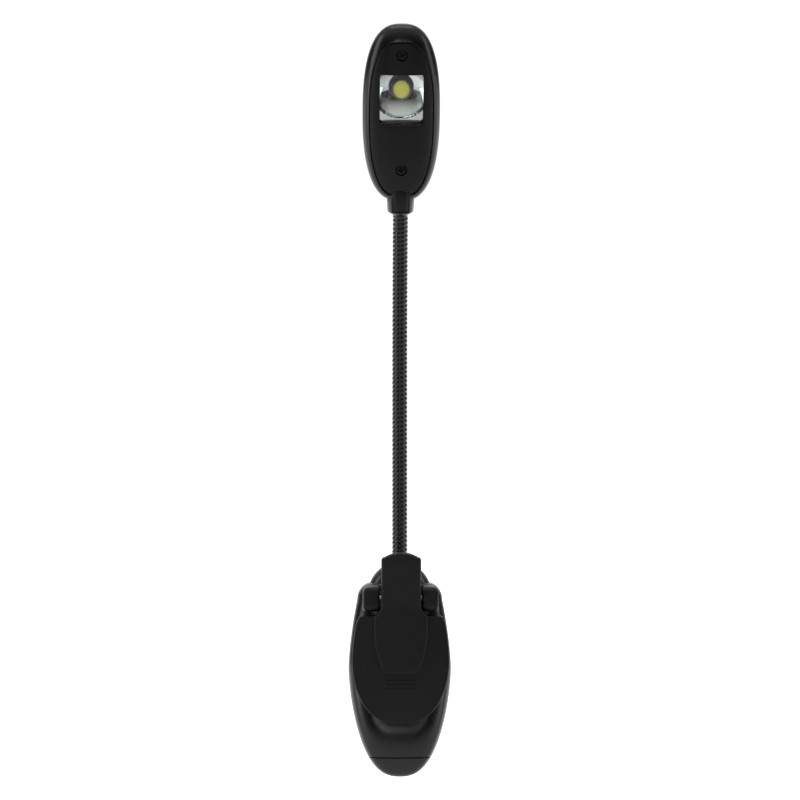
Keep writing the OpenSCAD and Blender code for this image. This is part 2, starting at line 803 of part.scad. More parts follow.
module head_leads() {
    color("#8c1d18") at_head() for (side = [-1, 1])
        wire([[side * wire_x, 0, -end_len + wire_gap], [side * wire_x, 0, 10.2], [side * 1, 1, 12.6],
            [side * 3.4, 3.2, 16], [side * 3.4, 3.4, 22], [side * 3.2, 3.1, 28], [side * 3, 3.05, 31]], wire_r);
}

base_front_shell();
base_back_shell();
battery_door();
cell(-1);  // cell_1
cell(1);  // cell_2
contact_bridge();
contact_spring();
contact_plate();
driver_board();
inductor();
base_screws();
neck_ferrule();
neck_foot();
base_leads();
base_pad();
hinge_pin();
torsion_spring();
torsion_spring_arm();
clip_lever();
jaw_pad();
neck_end();
head_ferrule();
head_leads();
head_shell();
head_cover();
window_lens();
reflector();
led_package();
led_dome();
led_board();
resistor();
switch_body();
switch_button();
cover_screws();
for (i = [1:joint_count - 1]) {
    neck_link(i);
    neck_leads(i);
}
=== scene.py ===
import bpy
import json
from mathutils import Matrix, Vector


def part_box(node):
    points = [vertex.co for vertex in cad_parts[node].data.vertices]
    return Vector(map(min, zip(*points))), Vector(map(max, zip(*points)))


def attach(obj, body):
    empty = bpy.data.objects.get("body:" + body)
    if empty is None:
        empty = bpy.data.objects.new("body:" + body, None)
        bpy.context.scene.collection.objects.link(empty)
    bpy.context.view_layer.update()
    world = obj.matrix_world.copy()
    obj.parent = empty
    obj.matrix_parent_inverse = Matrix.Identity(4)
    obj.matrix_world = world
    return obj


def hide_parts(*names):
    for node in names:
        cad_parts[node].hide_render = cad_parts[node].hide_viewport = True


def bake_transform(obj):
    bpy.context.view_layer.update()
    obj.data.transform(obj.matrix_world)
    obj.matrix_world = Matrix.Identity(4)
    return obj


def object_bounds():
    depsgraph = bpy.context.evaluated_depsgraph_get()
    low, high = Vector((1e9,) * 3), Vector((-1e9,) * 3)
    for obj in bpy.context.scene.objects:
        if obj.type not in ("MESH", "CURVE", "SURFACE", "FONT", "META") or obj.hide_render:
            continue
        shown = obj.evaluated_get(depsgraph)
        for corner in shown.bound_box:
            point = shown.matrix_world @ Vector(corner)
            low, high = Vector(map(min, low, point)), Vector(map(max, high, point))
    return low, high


bl_info = {
    "name": "Clip-on reading lamp",
    "version": (1, 0, 0),
    "blender": (4, 5, 0),
    "location": "View3D > Sidebar > Lamp",
    "description": "Builds the looks of a clip-on gooseneck reading lamp on its packed CAD frame",
    "category": "Object",
}

import json
from math import asin, atan, atan2, cos, degrees, exp, log1p, pi, radians, sin, sqrt, tan, tau

import bmesh
import bpy
from bpy.props import FloatProperty, FloatVectorProperty, IntProperty, PointerProperty
from mathutils import Matrix, Vector

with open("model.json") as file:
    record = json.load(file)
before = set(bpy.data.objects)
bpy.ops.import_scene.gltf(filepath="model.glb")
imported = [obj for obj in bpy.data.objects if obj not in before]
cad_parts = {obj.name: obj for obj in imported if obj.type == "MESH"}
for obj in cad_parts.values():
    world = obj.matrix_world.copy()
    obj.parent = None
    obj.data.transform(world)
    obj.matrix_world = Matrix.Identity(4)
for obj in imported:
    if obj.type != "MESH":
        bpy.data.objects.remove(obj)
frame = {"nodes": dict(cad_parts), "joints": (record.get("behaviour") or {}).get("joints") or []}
CAD_BOX = [list(corner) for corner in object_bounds()]

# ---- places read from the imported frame; lengths here and below are in millimetres ----

JOINTS = {joint["name"]: joint for joint in frame["joints"]}
NECK_JOINTS = sorted((joint for name, joint in JOINTS.items() if name.startswith("neck_")),
                     key=lambda joint: joint["pos_m"][2])
PIVOTS = [Vector(joint["pos_m"]) * 1000 for joint in NECK_JOINTS]
LINK = (PIVOTS[1] - PIVOTS[0]).length
HINGE = Vector(JOINTS["clip_hinge"]["pos_m"]) * 1000
PRESS = Vector(JOINTS["switch_press"]["axis"])
HEAD_TILT = atan2(-PRESS.z, -PRESS.y)
HEAD_UP = Vector((0, -sin(HEAD_TILT), cos(HEAD_TILT)))
MID_Y = PIVOTS[0].y
BACK_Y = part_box("battery_door")[1].y * 1000
BASE_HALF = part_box("base_back_shell")[1].x * 1000
DOOR_PIN = 1  # how far the battery door's stub pins stand out
DOOR_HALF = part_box("battery_door")[1].x * 1000 - DOOR_PIN
HINGE_H = 65  # the clip hinge's height over the base's nose
NOSE_Z = HINGE.z - HINGE_H
PINCH_H = -NOSE_Z
COLLAR_RISE = 5.7  # from the last neck pivot up to the foot of the head's collar

# Frames that turn millimetres into metres: the row itself, the base from its nose up, the head
# from the foot of its collar, the jaw on its slant, the thumb tab from the hinge.
ALONG_X = Matrix.Rotation(radians(90), 4, "Y")
ALONG_Y = Matrix.Rotation(radians(-90), 4, "X")
FACE_FRONT = Matrix.Rotation(radians(90), 4, "X")
JAW_TILT, TAB_LEAN = radians(5.9), radians(14)
ROW = Matrix.Scale(0.001, 4)
BASE = ROW @ Matrix.Translation((0, 0, NOSE_Z))
HEAD = (ROW @ Matrix.Translation(PIVOTS[-1] + COLLAR_RISE * HEAD_UP)
        @ Matrix.Rotation(HEAD_TILT, 4, "X"))
JAW = ROW @ Matrix.Rotation(JAW_TILT, 4, "X")
TAB = ROW @ Matrix.Translation(HINGE) @ Matrix.Rotation(TAB_LEAN, 4, "X")
DOOR_HINGE = Vector(JOINTS["battery_door_hinge"]["pos_m"]) * 1000
DOOR_Y, DOOR_H = DOOR_HINGE.y, DOOR_HINGE.z - NOSE_Z
DOOR_AXIS = Matrix.Translation((0, DOOR_Y, DOOR_H)) @ ALONG_X


# ---- sizes and colours ----


def srgb(code):
    """Linear colour of an sRGB hex code."""
    parts = [int(code[i:i + 2], 16) / 255 for i in (1, 3, 5)]
    return [c / 12.92 if c <= 0.04045 else ((c + 0.055) / 1.055) ** 2.4 for c in parts]


def length(name, text, value):
    """A size property that holds metres."""
    return FloatProperty(name=name, description=text, default=value, min=0, unit="LENGTH",
                         precision=5)


def angle(name, text, value):
    """An angle property with its default in degrees."""
    return FloatProperty(name=name, description=text, default=radians(value), subtype="ANGLE")


def power(name, text, value):
    """A light's power in watts."""
    return FloatProperty(name=name, description=text, default=value, min=0, unit="POWER")


def colour(name, text, code):
    """A colour property with an sRGB hex default."""
    return FloatVectorProperty(name=name, description=text, default=srgb(code), min=0, max=1,
                               subtype="COLOR")


class LampBaseSizes(bpy.types.PropertyGroup):
    wall: length("Wall", "Thickness of the two base shells", 0.0015)
    parting: length("Parting line", "Width of the chamfer on each side of a parting line", 0.0002)
    dome_radius: length("Boss radius", "Radius of the round boss under the gooseneck", 0.0114)
    dome_edge: length("Boss edge", "Rounding of the boss's rim", 0.0045)
    ear_round: length("Lug edge", "Rounding of the hinge lugs' edges", 0.0007)


class LampClipSizes(bpy.types.PropertyGroup):
    jaw_thickness: length("Jaw thickness", "Thickness of the jaw plate", 0.0022)
    jaw_edge: length("Jaw edge", "Rounding of the jaw plate's front edge", 0.0006)
    lever_thickness: length("Lever thickness", "Thickness of the raised lever", 0.0025)
    lever_edge: length("Lever edge", "Rounding of the lever's front edge", 0.0009)
    ridge_length: length("Ridge length", "Length of a grip ridge on the jaw", 0.0112)
    ridge_width: length("Ridge width", "Width of a grip ridge", 0.0008)
    ridges: IntProperty(name="Ridges", description="Grip ridges on the jaw", default=3, min=0,
                        max=6)


class LampNeckSizes(bpy.types.PropertyGroup):
    radius: length("Gooseneck radius", "Outer radius of the wound gooseneck", 0.00275)
    pitch: length("Winding pitch", "Distance from one turn to the next", 0.0016)
    wire: length("Winding wire", "Radius of the rounded back of each turn", 0.0017)
    steps: IntProperty(name="Steps a turn", description="Points in each turn", default=30, min=8)


class LampHeadSizes(bpy.types.PropertyGroup):
    width: length("Head width", "Greatest width of the head", 0.0275)
    height: length("Head height", "Height of the head's top over its collar's foot", 0.0697)
    rim: length("Rim", "How far the face plate stands in from the outline", 0.0024)
    plate_top: length("Plate top", "Height of the face plate's top over the foot", 0.0638)
    wall: length("Head wall", "Thickness of the head's shell", 0.0015)
    window_width: length("Window width", "Width of the light window", 0.0154)
    window_height: length("Window height", "Height of the light window", 0.0178)
    window_corner: length("Window corner", "Corner radius of the light window", 0.0009)


class LampColours(bpy.types.PropertyGroup):
    shell: colour("Shells", "Polished black of the base and the head's rim", "#0f0f11")
    matt: colour("Clip and face plate", "Satin black of the lever and face plate", "#0f0f10")
    neck: colour("Gooseneck", "Lacquer on the gooseneck", "#101012")
    rubber: colour("Pads", "Grip pads", "#1b1b1b")
    phosphor: colour("Light chip", "Phosphor under the light's dome", "#e4e27a")
    board: colour("Board", "Solder mask of the driver board", "#1c5a33")
    sleeve: colour("Cell sleeve", "Upper sleeve of the cells", "#b56a2c")
    lead: colour("Leads", "Insulation of the leads", "#8c1d18")


class LampStageSettings(bpy.types.PropertyGroup):
    lens: FloatProperty(name="Lens", description="Focal length in millimetres", default=210, min=20)
    azimuth: angle("Azimuth", "Camera's turn round the lamp", -1.5)
    elevation: angle("Elevation", "Camera's height angle", 1.2)
    picture: length("Picture height", "Height of what the camera takes in", 0.287)
    left: power("Left box", "Power of the soft box at the left", 1.8)
    right: power("Right box", "Power of the soft box at the right", 1.1)
    top: power("Top box", "Power of the soft box overhead", 1.3)
    strips: power("Far boxes", "Power of the two far boxes either side of the camera", 1.5)
    floor: colour("Floor", "Pale floor and backdrop", "#f4f4f4")


# ---- materials ----


def node(tree, kind, inputs=(), **settings):
    """Adds a node with its settings. Inputs map a socket's name or number to a value or a link."""
    made = tree.nodes.new(kind)
    for key, value in settings.items():
        setattr(made, key, value)
    for key, value in dict(inputs).items():
        if isinstance(value, bpy.types.NodeSocket):
            tree.links.new(value, made.inputs[key])
        else:
            made.inputs[key].default_value = value
    return made


def lay_pattern(tree, shader, place, size_mm=1.0, detail=2.0, stretch=(1, 1, 1), source=None,
                rough=None, tints=None, bump_mm=0, strength=1.0, glow=False):
    """Lays one pattern on a surface: noise with lumps of size_mm, or what a source function
    makes. It sways the roughness, mixes two colours, raises the surface or makes it glow."""
    if source:
        value = source(tree, place)
    else:
        put = node(tree, "ShaderNodeMapping", {"Vector": place, "Scale": stretch}).outputs[0]
        noise = {"Vector": put, "Scale": 500 / size_mm, "Detail": detail}
        value = node(tree, "ShaderNodeTexNoise", noise).outputs[0]
    middle = {"Value": value, "From Min": 0.3, "From Max": 0.7}  # where most of the noise lies
    if rough:
        swing = node(tree, "ShaderNodeMapRange", {**middle, "To Min": rough[0], "To Max": rough[1]})
        tree.links.new(swing.outputs[0], shader.inputs["Roughness"])
    if tints:
        share = value if source else node(tree, "ShaderNodeMapRange", middle).outputs[0]
        mixing = {0: share, 6: (*tints[0], 1), 7: (*tints[1], 1)}
        mix = node(tree, "ShaderNodeMix", mixing, data_type="RGBA")
        tree.links.new(mix.outputs[2], shader.inputs["Base Color"])
    if bump_mm:
        rise = {"Height": value, "Distance": bump_mm / 1000, "Strength": strength}
        tree.links.new(node(tree, "ShaderNodeBump", rise).outputs[0], shader.inputs["Normal"])
    if glow:
        tree.links.new(value, shader.inputs["Emission Strength"])


def dressed(name, base, rough, *patterns, **constants):
    """A material with one Principled surface: its constants on the shader's own sockets, then
    its patterns."""
    mat = bpy.data.materials.new(name)
    mat.use_nodes = True
    tree = mat.node_tree
    tree.nodes.clear()
    named = {key.replace("_", " "): value for key, value in constants.items()}
    shader = node(tree, "ShaderNodeBsdfPrincipled",
                  {"Base Color": (*base, 1), "Roughness": rough, **named})
    node(tree, "ShaderNodeOutputMaterial", {"Surface": shader.outputs[0]})
    place = node(tree, "ShaderNodeTexCoord").outputs["Object"]
    for settings in patterns:
        lay_pattern(tree, shader, place, **settings)
    return mat


def moulded(name, base, rough, swing, grain_mm, depth_mm, lighter, **more):
    """Injection-moulded plastic with an even skin of the given grain, its tone drifting a
    little over 9 mm."""
    pale = [min(1, c * lighter + 0.0008) for c in base]
    return dressed(name, base, rough,
                   dict(size_mm=grain_mm, detail=3, rough=(rough - swing, rough + swing),
                        bump_mm=depth_mm),
                   dict(size_mm=9, tints=(base, pale)), IOR=1.54, **more)


def drawn(name, code, rough, lines_mm, stretch):
    """Bare or plated metal with fine lines along one axis."""
    return dressed(name, srgb(code), rough,
                   dict(size_mm=lines_mm, detail=3, stretch=stretch, bump_mm=0.003,
                        rough=(rough * 0.8, rough * 1.25)), Metallic=1.0)


def board(name, base, track_code):
    """Glass-epoxy board under solder mask, with tracks just showing through."""
    def tracks(tree, place):
        cells = node(tree, "ShaderNodeTexVoronoi", {"Vector": place, "Scale": 500},
                     distance="CHEBYCHEV", feature="F1").outputs[0]
        edge = {"Value": cells, "From Min": 0.25, "From Max": 0.35}
        return node(tree, "ShaderNodeMapRange", edge).outputs[0]

    return dressed(name, base, 0.35,
                   dict(source=tracks, tints=(srgb(track_code), base), bump_mm=0.02, strength=0.5),
                   dict(size_mm=1, rough=(0.3, 0.42)), IOR=1.52)


def sleeve_split(tree, place):
    """Where a cell's dark sleeve ends and its coloured one starts, over 0.3 mm."""
    height = node(tree, "ShaderNodeSeparateXYZ", {0: place}).outputs[2]
    top = (NOSE_Z + 48) / 1000
    edge = {"Value": height, "From Min": top, "From Max": top + 0.0003}
    return node(tree, "ShaderNodeMapRange", edge).outputs[0]


def resistor_bands(tree, place):
    """Plain bands round a small resistor."""
    wave = node(tree, "ShaderNodeTexWave", {"Vector": place, "Scale": 210, "Distortion": 0.4},
                bands_direction="X").outputs[1]
    edge = {"Value": wave, "From Min": 0.75, "From Max": 0.85}
    return node(tree, "ShaderNodeMapRange", edge).outputs[0]


MATERIALS = {}


def make_materials(c):
    """Makes each finish once, and keeps it by a short name."""
    black, blue = srgb("#17171a"), srgb("#2f6fa8")
    MATERIALS.update({
        # Glossy black ABS from a polished mould: clear soft-box bands, broken only by a faint
        # orange peel of about 1.4 mm.
        "gloss": moulded("polished_black_abs", c.shell, 0.24, 0.03, 1.4, 0.0035, 1.25),
        # Satin black ABS from a spark-eroded mould: a soft broad sheen, and a skin that breaks
        # up part of the mirror-like return. The real grain is about 0.1 mm; it is drawn at
        # 0.5 mm so that it shows.
        "matt": moulded("spark_eroded_black_abs", c.matt, 0.44, 0.05, 0.5, 0.005, 1.3,
                        Specular_IOR_Level=0.26),
        # Steel winding with baked black lacquer: a sharp stripe along the neck, dulled a little
        # where the lacquer is thick between the turns.
        "neck": dressed("lacquered_steel_winding", c.neck, 0.25,
                        dict(size_mm=3, rough=(0.2, 0.3)),
                        dict(size_mm=0.6, detail=3, bump_mm=0.003),
                        IOR=1.5, Coat_Weight=0.15, Coat_Roughness=0.15),
        # Moulded thermoplastic rubber: almost no gloss, with a slightly dusty bloom.
        "rubber": dressed("moulded_grip_rubber", c.rubber, 0.8,
                          dict(size_mm=2.5, tints=(c.rubber, srgb("#262625"))),
                          dict(size_mm=0.4, detail=4, bump_mm=0.02), IOR=1.5),
        # Spring wire, drawn bright: long fine lines and a clean grey sheen.
        "spring": drawn("drawn_spring_steel", "#a9abae", 0.28, 0.4, (0.1, 1, 1)),
        # Blackened steel screws: a dark oiled metal with a soft glint on the cross.
        "screw": drawn("blackened_screw_steel", "#2e2f31", 0.36, 0.8, (1, 1, 1)),
        # Nickel-plated strip: warm grey, lightly brushed along its length.
        "nickel": drawn("nickel_plated_strip", "#c3bfb6", 0.25, 0.5, (0.15, 1, 1)),
        # Zinc-plated tube: a cool grey with a dull, slightly cloudy face.
        "ferrule": drawn("zinc_plated_tube", "#8f9193", 0.38, 1.2, (1, 1, 0.4)),
        # Vacuum-metallised plastic: a bright mirror with a slight ripple of the moulding in it.
        "mirror": dressed("metallised_reflector", srgb("#eceef0"), 0.07,
                          dict(size_mm=1.6, rough=(0.05, 0.1), bump_mm=0.004), Metallic=1.0),
        # Clear moulded acrylic: see-through, with a crisp reflection and a faint ripple.
        "clear": dressed("clear_moulded_acrylic", srgb("#f8fafa"), 0.02,
                         dict(size_mm=3, rough=(0.012, 0.03), bump_mm=0.002),
                         IOR=1.49, Transmission_Weight=1.0),
        # Phosphor in clear silicone: a deep yellow-green, finely speckled, under a wet gloss. Its
        # emission is a painted glow that brightens the chip though the lamp is off.
        "phosphor": dressed("phosphor_under_silicone", c.phosphor, 0.22,
                            dict(size_mm=0.35, detail=4, tints=(c.phosphor, srgb("#f2f0a4"))),
                            dict(size_mm=1.2, bump_mm=0.006), IOR=1.41, Coat_Weight=0.6,
                            Emission_Color=(*srgb("#d6d45a"), 1), Emission_Strength=0.42),
        # Fired white ceramic of a light chip's body: chalky, with a fine tooth.
        "ceramic": dressed("fired_white_ceramic", srgb("#e9e9e2"), 0.5,
                           dict(size_mm=0.8, tints=(srgb("#e2e2da"), srgb("#f0f0ea"))),
                           dict(size_mm=0.3, detail=3, bump_mm=0.006), IOR=1.6),
        # Green glass-epoxy board with copper tracks under the mask.
        "green_board": board("green_solder_mask", c.board, "#2c7a48"),
        # White-masked board, as used under light chips so that it reflects.
        "white_board": board("white_solder_mask", srgb("#dcdcd6"), "#c9c9c2"),
        # Shrunk film over a zinc can: two plain colours, with a gloss that dulls in patches.
        "sleeve": dressed("shrunk_cell_sleeve", black, 0.28,
                          dict(source=sleeve_split, tints=(black, c.sleeve)),
                          dict(size_mm=4, rough=(0.22, 0.36)),
                          dict(size_mm=3, detail=1, stretch=(0.3, 0.3, 1), bump_mm=0.01),
                          IOR=1.5, Coat_Weight=0.4),
        # Extruded PVC insulation: even colour, soft gloss, faint lengthwise drag marks.
        "lead": dressed("extruded_pvc_lead", c.lead, 0.4,
                        dict(size_mm=0.5, stretch=(1, 1, 0.1), rough=(0.33, 0.48), bump_mm=0.004,
                             tints=(c.lead, [v * 0.75 for v in c.lead])), IOR=1.53),
        # Pressed and fired ferrite: dark grey, dry and finely gritty.
        "ferrite": dressed("pressed_ferrite", srgb("#37373a"), 0.7,
                           dict(size_mm=0.3, detail=4, bump_mm=0.02,
                                tints=(srgb("#2c2c2f"), srgb("#444448"))), IOR=1.8),
        # Dipped lacquer on a resistor's body: mid blue, pooled and glossy, with plain tan bands.
        "resistor": dressed("dipped_resistor", blue, 0.25,
                            dict(source=resistor_bands, tints=(blue, srgb("#a88a5a"))),
                            dict(size_mm=1, bump_mm=0.01), IOR=1.5),
        # Glass-filled nylon of a small switch: pale, dry and faintly mottled.
        "switch": moulded("glass_filled_nylon", srgb("#cfcfca"), 0.5, 0.06, 0.5, 0.006, 1.05),
    })


# ---- outlines and meshes ----


def frange(low, high, step):
    """Numbers from low to high by a step."""
    return [low + i * step for i in range(int((high - low) / step + 1e-6) + 1)]


def arc(u, v, radius, turns):
    """Points round a centre at angles in degrees."""
    return [(u + radius * cos(radians(t)), v + radius * sin(radians(t))) for t in turns]


def bow(start, knee, end, t):
    """A point on the curve that leaves start and reaches end, pulled towards the knee."""
    return start * (1 - t) ** 2 + knee * 2 * t * (1 - t) + end * t * t


def quarter(shares):
    """(side, rise) pairs round a quarter turn: both go from 0 to 1."""
    return [(1 - cos(pi / 2 * t), sin(pi / 2 * t)) for t in shares]


def band(rows, wrap=True, loop=False, caps=()):
    """Points and faces of rings with equal counts: wrap closes each ring, loop joins the last
    ring to the first, and caps names the ends (0, -1) that are filled."""
    count, size = len(rows), len(rows[0])
    faces = []
    for i in range(count if loop else count - 1):
        a, b = i * size, (i + 1) % count * size
        for j in range(size if wrap else size - 1):
            k = (j + 1) % size
            faces.append((a + j, a + k, b + k, b + j))
    for end in caps:
        first = (count - 1) * size if end else 0
        faces.append([first + j for j in range(size)])
    return [p for row in rows for p in row], faces


def new_object(name, parts, place):
    """A linked object whose mesh is made of several (points, faces), moved by a matrix, its
    faces turned outwards."""
    made = bmesh.new()
    for points, faces in parts:
        verts = [made.verts.new(place @ Vector(p)) for p in points]
        for face in faces:
            made.faces.new([verts[i] for i in face])
    bmesh.ops.remove_doubles(made, verts=made.verts, dist=1e-7)
    bmesh.ops.dissolve_degenerate(made, dist=1e-8, edges=made.edges)
    bmesh.ops.recalc_face_normals(made, faces=made.faces)
    mesh = bpy.data.meshes.new(name)
    made.to_mesh(mesh)
    made.free()
    return linked(name, mesh)


def linked(name, data):
    """An object in the scene that holds a mesh, a light or a camera."""
    made = bpy.data.objects.new(name, data)
    bpy.context.scene.collection.objects.link(made)
    return made


def settled(obj):
    """Replaces an object's mesh by what its modifiers give, and removes them."""
    bpy.context.view_layer.update()
    seen = obj.evaluated_get(bpy.context.evaluated_depsgraph_get())
    mesh = bpy.data.meshes.new_from_object(seen)
    obj.modifiers.clear()
    old, obj.data = obj.data, mesh
    mesh.name = obj.name
    bpy.data.meshes.remove(old)
    return obj


def cut_by(obj, tool, operation="DIFFERENCE", use_self=True):
    """Takes a closed object out of another, or joins it, and removes it."""
    change = obj.modifiers.new("Cut", "BOOLEAN")
    change.operation, change.solver = operation, "EXACT"
    change.use_self, change.object = use_self, tool
    settled(obj)
    bpy.data.objects.remove(tool)


def cut(obj, parts, place, operation="DIFFERENCE"):
    """Takes closed shapes out of an object, or joins them to it."""
    cut_by(obj, new_object("tool", parts, place), operation)


def finish_piece(obj, look, body=None, replaces=(), angle=32):
    """Gives a piece its material, smooth faces with creases over an angle and body."""
    obj.data.materials.clear()
    obj.data.materials.append(MATERIALS[look])
    obj.data.polygons.foreach_set("material_index", [0] * len(obj.data.polygons))
    obj.data.shade_smooth()
    obj.data.set_sharp_from_angle(angle=radians(angle))
    if body:
        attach(obj, body)
    if replaces:
        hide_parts(*replaces)


def lathe(profile, steps=72, caps=(0, -1)):
    """A solid of revolution about Z from (radius, height) pairs; its ends are filled flat."""
    turn = [2 * pi * i / steps for i in range(steps)]
    return band([[(radius * cos(a), radius * sin(a), height) for a in turn]
                 for radius, height in profile], caps=caps)


def turned(part, matrix):
    """A (points, faces) part moved by a matrix."""
    points, faces = part
    return [tuple(matrix @ Vector(p)) for p in points], faces


def rod(radius, low, high, steps, place=Matrix()):
    """A cylinder about Z between two heights, moved by a matrix."""
    return turned(lathe([(radius, low), (radius, high)], steps), place)


def box_part(low, high):
    """A box between two corners."""
    corners = ((low[0], low[1]), (high[0], low[1]), (high[0], high[1]), (low[0], high[1]))
    return band([[(x, y, z) for x, y in corners] for z in (low[2], high[2])], caps=(0, -1))


def triples(outline):
    """Each point of a closed outline with its neighbours before and after."""
    points = [Vector(p) for p in outline]
    return zip(points[-1:] + points[:-1], points, points[1:] + points[:1])


def inset(outline, amount):
    """A closed outline moved inwards along its corner normals; it runs anticlockwise."""
    out = []
    for a, p, b in triples(outline):
        u, v = (p - a).normalized(), (b - p).normalized()
        left = Vector((-(u.y + v.y), u.x + v.x))
        left = left.normalized() if left.length > 1e-9 else Vector((-u.y, u.x))
        reach = max(0.35, left.dot(Vector((-u.y, u.x))))
        out.append(tuple(p + left * amount / reach))
    return out


def rounded(outline, radius, steps=5):
    """Rounds the sharp corners of a polygon."""
    out = []
    for a, p, b in triples(outline):
        u, v = (a - p).normalized(), (b - p).normalized()
        turn = pi - u.angle(v)
        if turn < radians(20):
            out.append(tuple(p))
            continue
        reach = min(radius * tan(turn / 2), (a - p).length * 0.49, (b - p).length * 0.49)
        out += [tuple(bow(p + u * reach, p, p + v * reach, k / steps)) for k in range(steps + 1)]
    return out


def both_sides(right):
    """A closed anticlockwise outline from its right side's points, the same on both sides."""
    return right + [(-w, h) for w, h in reversed(right)]


def slab(outline, thick, front_edge, back_edge, steps=5, rows=False):
    """A plate with rounded edges: its outline in u and v, its depth w from 0 at the front. With
    rows, its faces are filled from side to side."""
    def edge(radius, count):
        return [(radius * (1 - rise), radius * side)
                for side, rise in quarter([i / count for i in range(count + 1)])]

    levels = edge(front_edge, steps)[::-1]
    levels += [(thick - depth, taken) for depth, taken in edge(back_edge, max(2, steps - 2))]
    rings = [[(u, v, depth) for u, v in inset(outline, taken)] for depth, taken in levels]
    if not rows:
        return band(rings, caps=(0, -1))
    points, faces = band(rings)
    n = len(outline)
    for first in (0, (len(rings) - 1) * n):
        for i in range(n // 2 - 1):
            faces.append((first + i, first + i + 1, first + n - 2 - i, first + n - 1 - i))
    return points, faces


def bent(part, curve):
    """A part whose (u, v, w) points go through a function of three."""
    points, faces = part
    return [curve(*p) for p in points], faces


def soft_limit(value, limit, blend):
    """Value held under a limit, eased over a blend length."""
    over = (limit - value) / blend
    if over <= -30:
        return limit
    return limit - blend * (over if over > 30 else log1p(exp(over)))


# ---- what repeats or follows a path ----


def group(name, inputs):
    """An empty geometry tree with one geometry in and out, and named inputs."""
    tree = bpy.data.node_groups.new(name, "GeometryNodeTree")
    for title, kind in (("Geometry", "Geometry"), *inputs):
        tree.interface.new_socket(title, in_out="INPUT", socket_type="NodeSocket" + kind)
    tree.interface.new_socket("Geometry", in_out="OUTPUT", socket_type="NodeSocketGeometry")
    return tree, node(tree, "NodeGroupInput").outputs


def closing(tree, geometry, look):
    """The end of each tree: real geometry with its material."""
    real = node(tree, "GeometryNodeRealizeInstances", {0: geometry}).outputs[0]
    coated = node(tree, "GeometryNodeSetMaterial", {0: real, "Material": look}).outputs[0]
    node(tree, "NodeGroupOutput", {0: coated})
    return tree


def grown(name, points, edges, tree, values):
    """Runs a geometry tree on points and edges in millimetres of the row frame, and keeps the
    result as a plain mesh."""
    mesh = bpy.data.meshes.new(name)
    mesh.from_pydata([ROW @ Vector(p) for p in points], edges, [])
    made = linked(name, mesh)
    grow = made.modifiers.new("Grow", "NODES")
    grow.node_group = tree
    for item in tree.interface.items_tree:
        if item.in_out == "INPUT" and item.name in values:
            grow[item.identifier] = values[item.name]
    settled(made)
    if not made.data.polygons:
        raise RuntimeError(f"{name} has no faces")
    return made


def points_tree():
    """Sets a copy of one piece at each point."""
    found = bpy.data.node_groups.get("Pieces at points")
    if found:
        return found
    tree, put = group("Pieces at points", [("Piece", "Object"), ("Material", "Material")])
    piece = node(tree, "GeometryNodeObjectInfo", {"Object": put["Piece"]}).outputs["Geometry"]
    copies = node(tree, "GeometryNodeInstanceOnPoints",
                  {"Points": put["Geometry"], "Instance": piece}).outputs[0]
    return closing(tree, copies, put["Material"])


def at_points(name, piece, spots, look=None):
    """Copies of a piece at places in the row frame; the first one is removed."""
    values = {"Piece": piece, "Material": MATERIALS.get(look)}
    made = grown(name, spots, [], points_tree(), values)
    bpy.data.objects.remove(piece)
    return made


def wire_round(tree, path, resolution, radius):
    """A closed round wire along a path."""
    section = node(tree, "GeometryNodeCurvePrimitiveCircle",
                   {"Resolution": resolution, "Radius": radius}).outputs[0]
    return node(tree, "GeometryNodeCurveToMesh",
                {0: path, 1: section, "Fill Caps": True}).outputs[0]


def winding_tree():
    """Winds a wire round a path in the plane x = 0, over a liner that fills the bore."""
    names = ("Turns", "Start", "Coil radius", "Wire radius", "Liner radius")
    inputs = [(name, "Float") for name in names] + [("Steps", "Int"), ("Material", "Material")]
    tree, put = group("Winding along a path", inputs)
    path = node(tree, "GeometryNodeMeshToCurve", {0: put["Geometry"]}).outputs[0]
    count = node(tree, "ShaderNodeMath", {0: put["Turns"], 1: put["Steps"]}, operation="MULTIPLY")
    fine = node(tree, "GeometryNodeResampleCurve", {"Curve": path, "Count": count.outputs[0]})

    # Each point moves out by cos(angle) along X and by sin(angle) across the path.
    along = node(tree, "GeometryNodeSplineParameter").outputs["Factor"]
    turn = node(tree, "ShaderNodeMath", {0: along, 1: put["Turns"], 2: put["Start"]},
                operation="MULTIPLY_ADD").outputs[0]
    angle = node(tree, "ShaderNodeMath", {0: turn, 1: tau}, operation="MULTIPLY").outputs[0]
    cosine = node(tree, "ShaderNodeMath", {0: angle}, operation="COSINE").outputs[0]
    sine = node(tree, "ShaderNodeMath", {0: angle}, operation="SINE").outputs[0]
    tangent = node(tree, "GeometryNodeInputTangent").outputs[0]
    normal = node(tree, "ShaderNodeVectorMath", {0: tangent, 1: (1, 0, 0)},
                  operation="CROSS_PRODUCT").outputs[0]
    across = node(tree, "ShaderNodeVectorMath", {0: normal, "Scale": sine}, operation="SCALE")
    side = node(tree, "ShaderNodeCombineXYZ", {0: cosine}).outputs[0]
    way = node(tree, "ShaderNodeVectorMath", {0: side, 1: across.outputs[0]}, operation="ADD")
    offset = node(tree, "ShaderNodeVectorMath", {0: way.outputs[0], "Scale": put["Coil radius"]},
                  operation="SCALE").outputs[0]
    wound = node(tree, "GeometryNodeSetPosition", {0: fine.outputs[0], "Offset": offset})

    joined = node(tree, "GeometryNodeJoinGeometry",
                  {0: wire_round(tree, path, 24, put["Liner radius"])})
    wire = wire_round(tree, wound.outputs[0], 12, put["Wire radius"])
    tree.links.new(wire, joined.inputs[0])
    return closing(tree, joined.outputs[0], put["Material"])


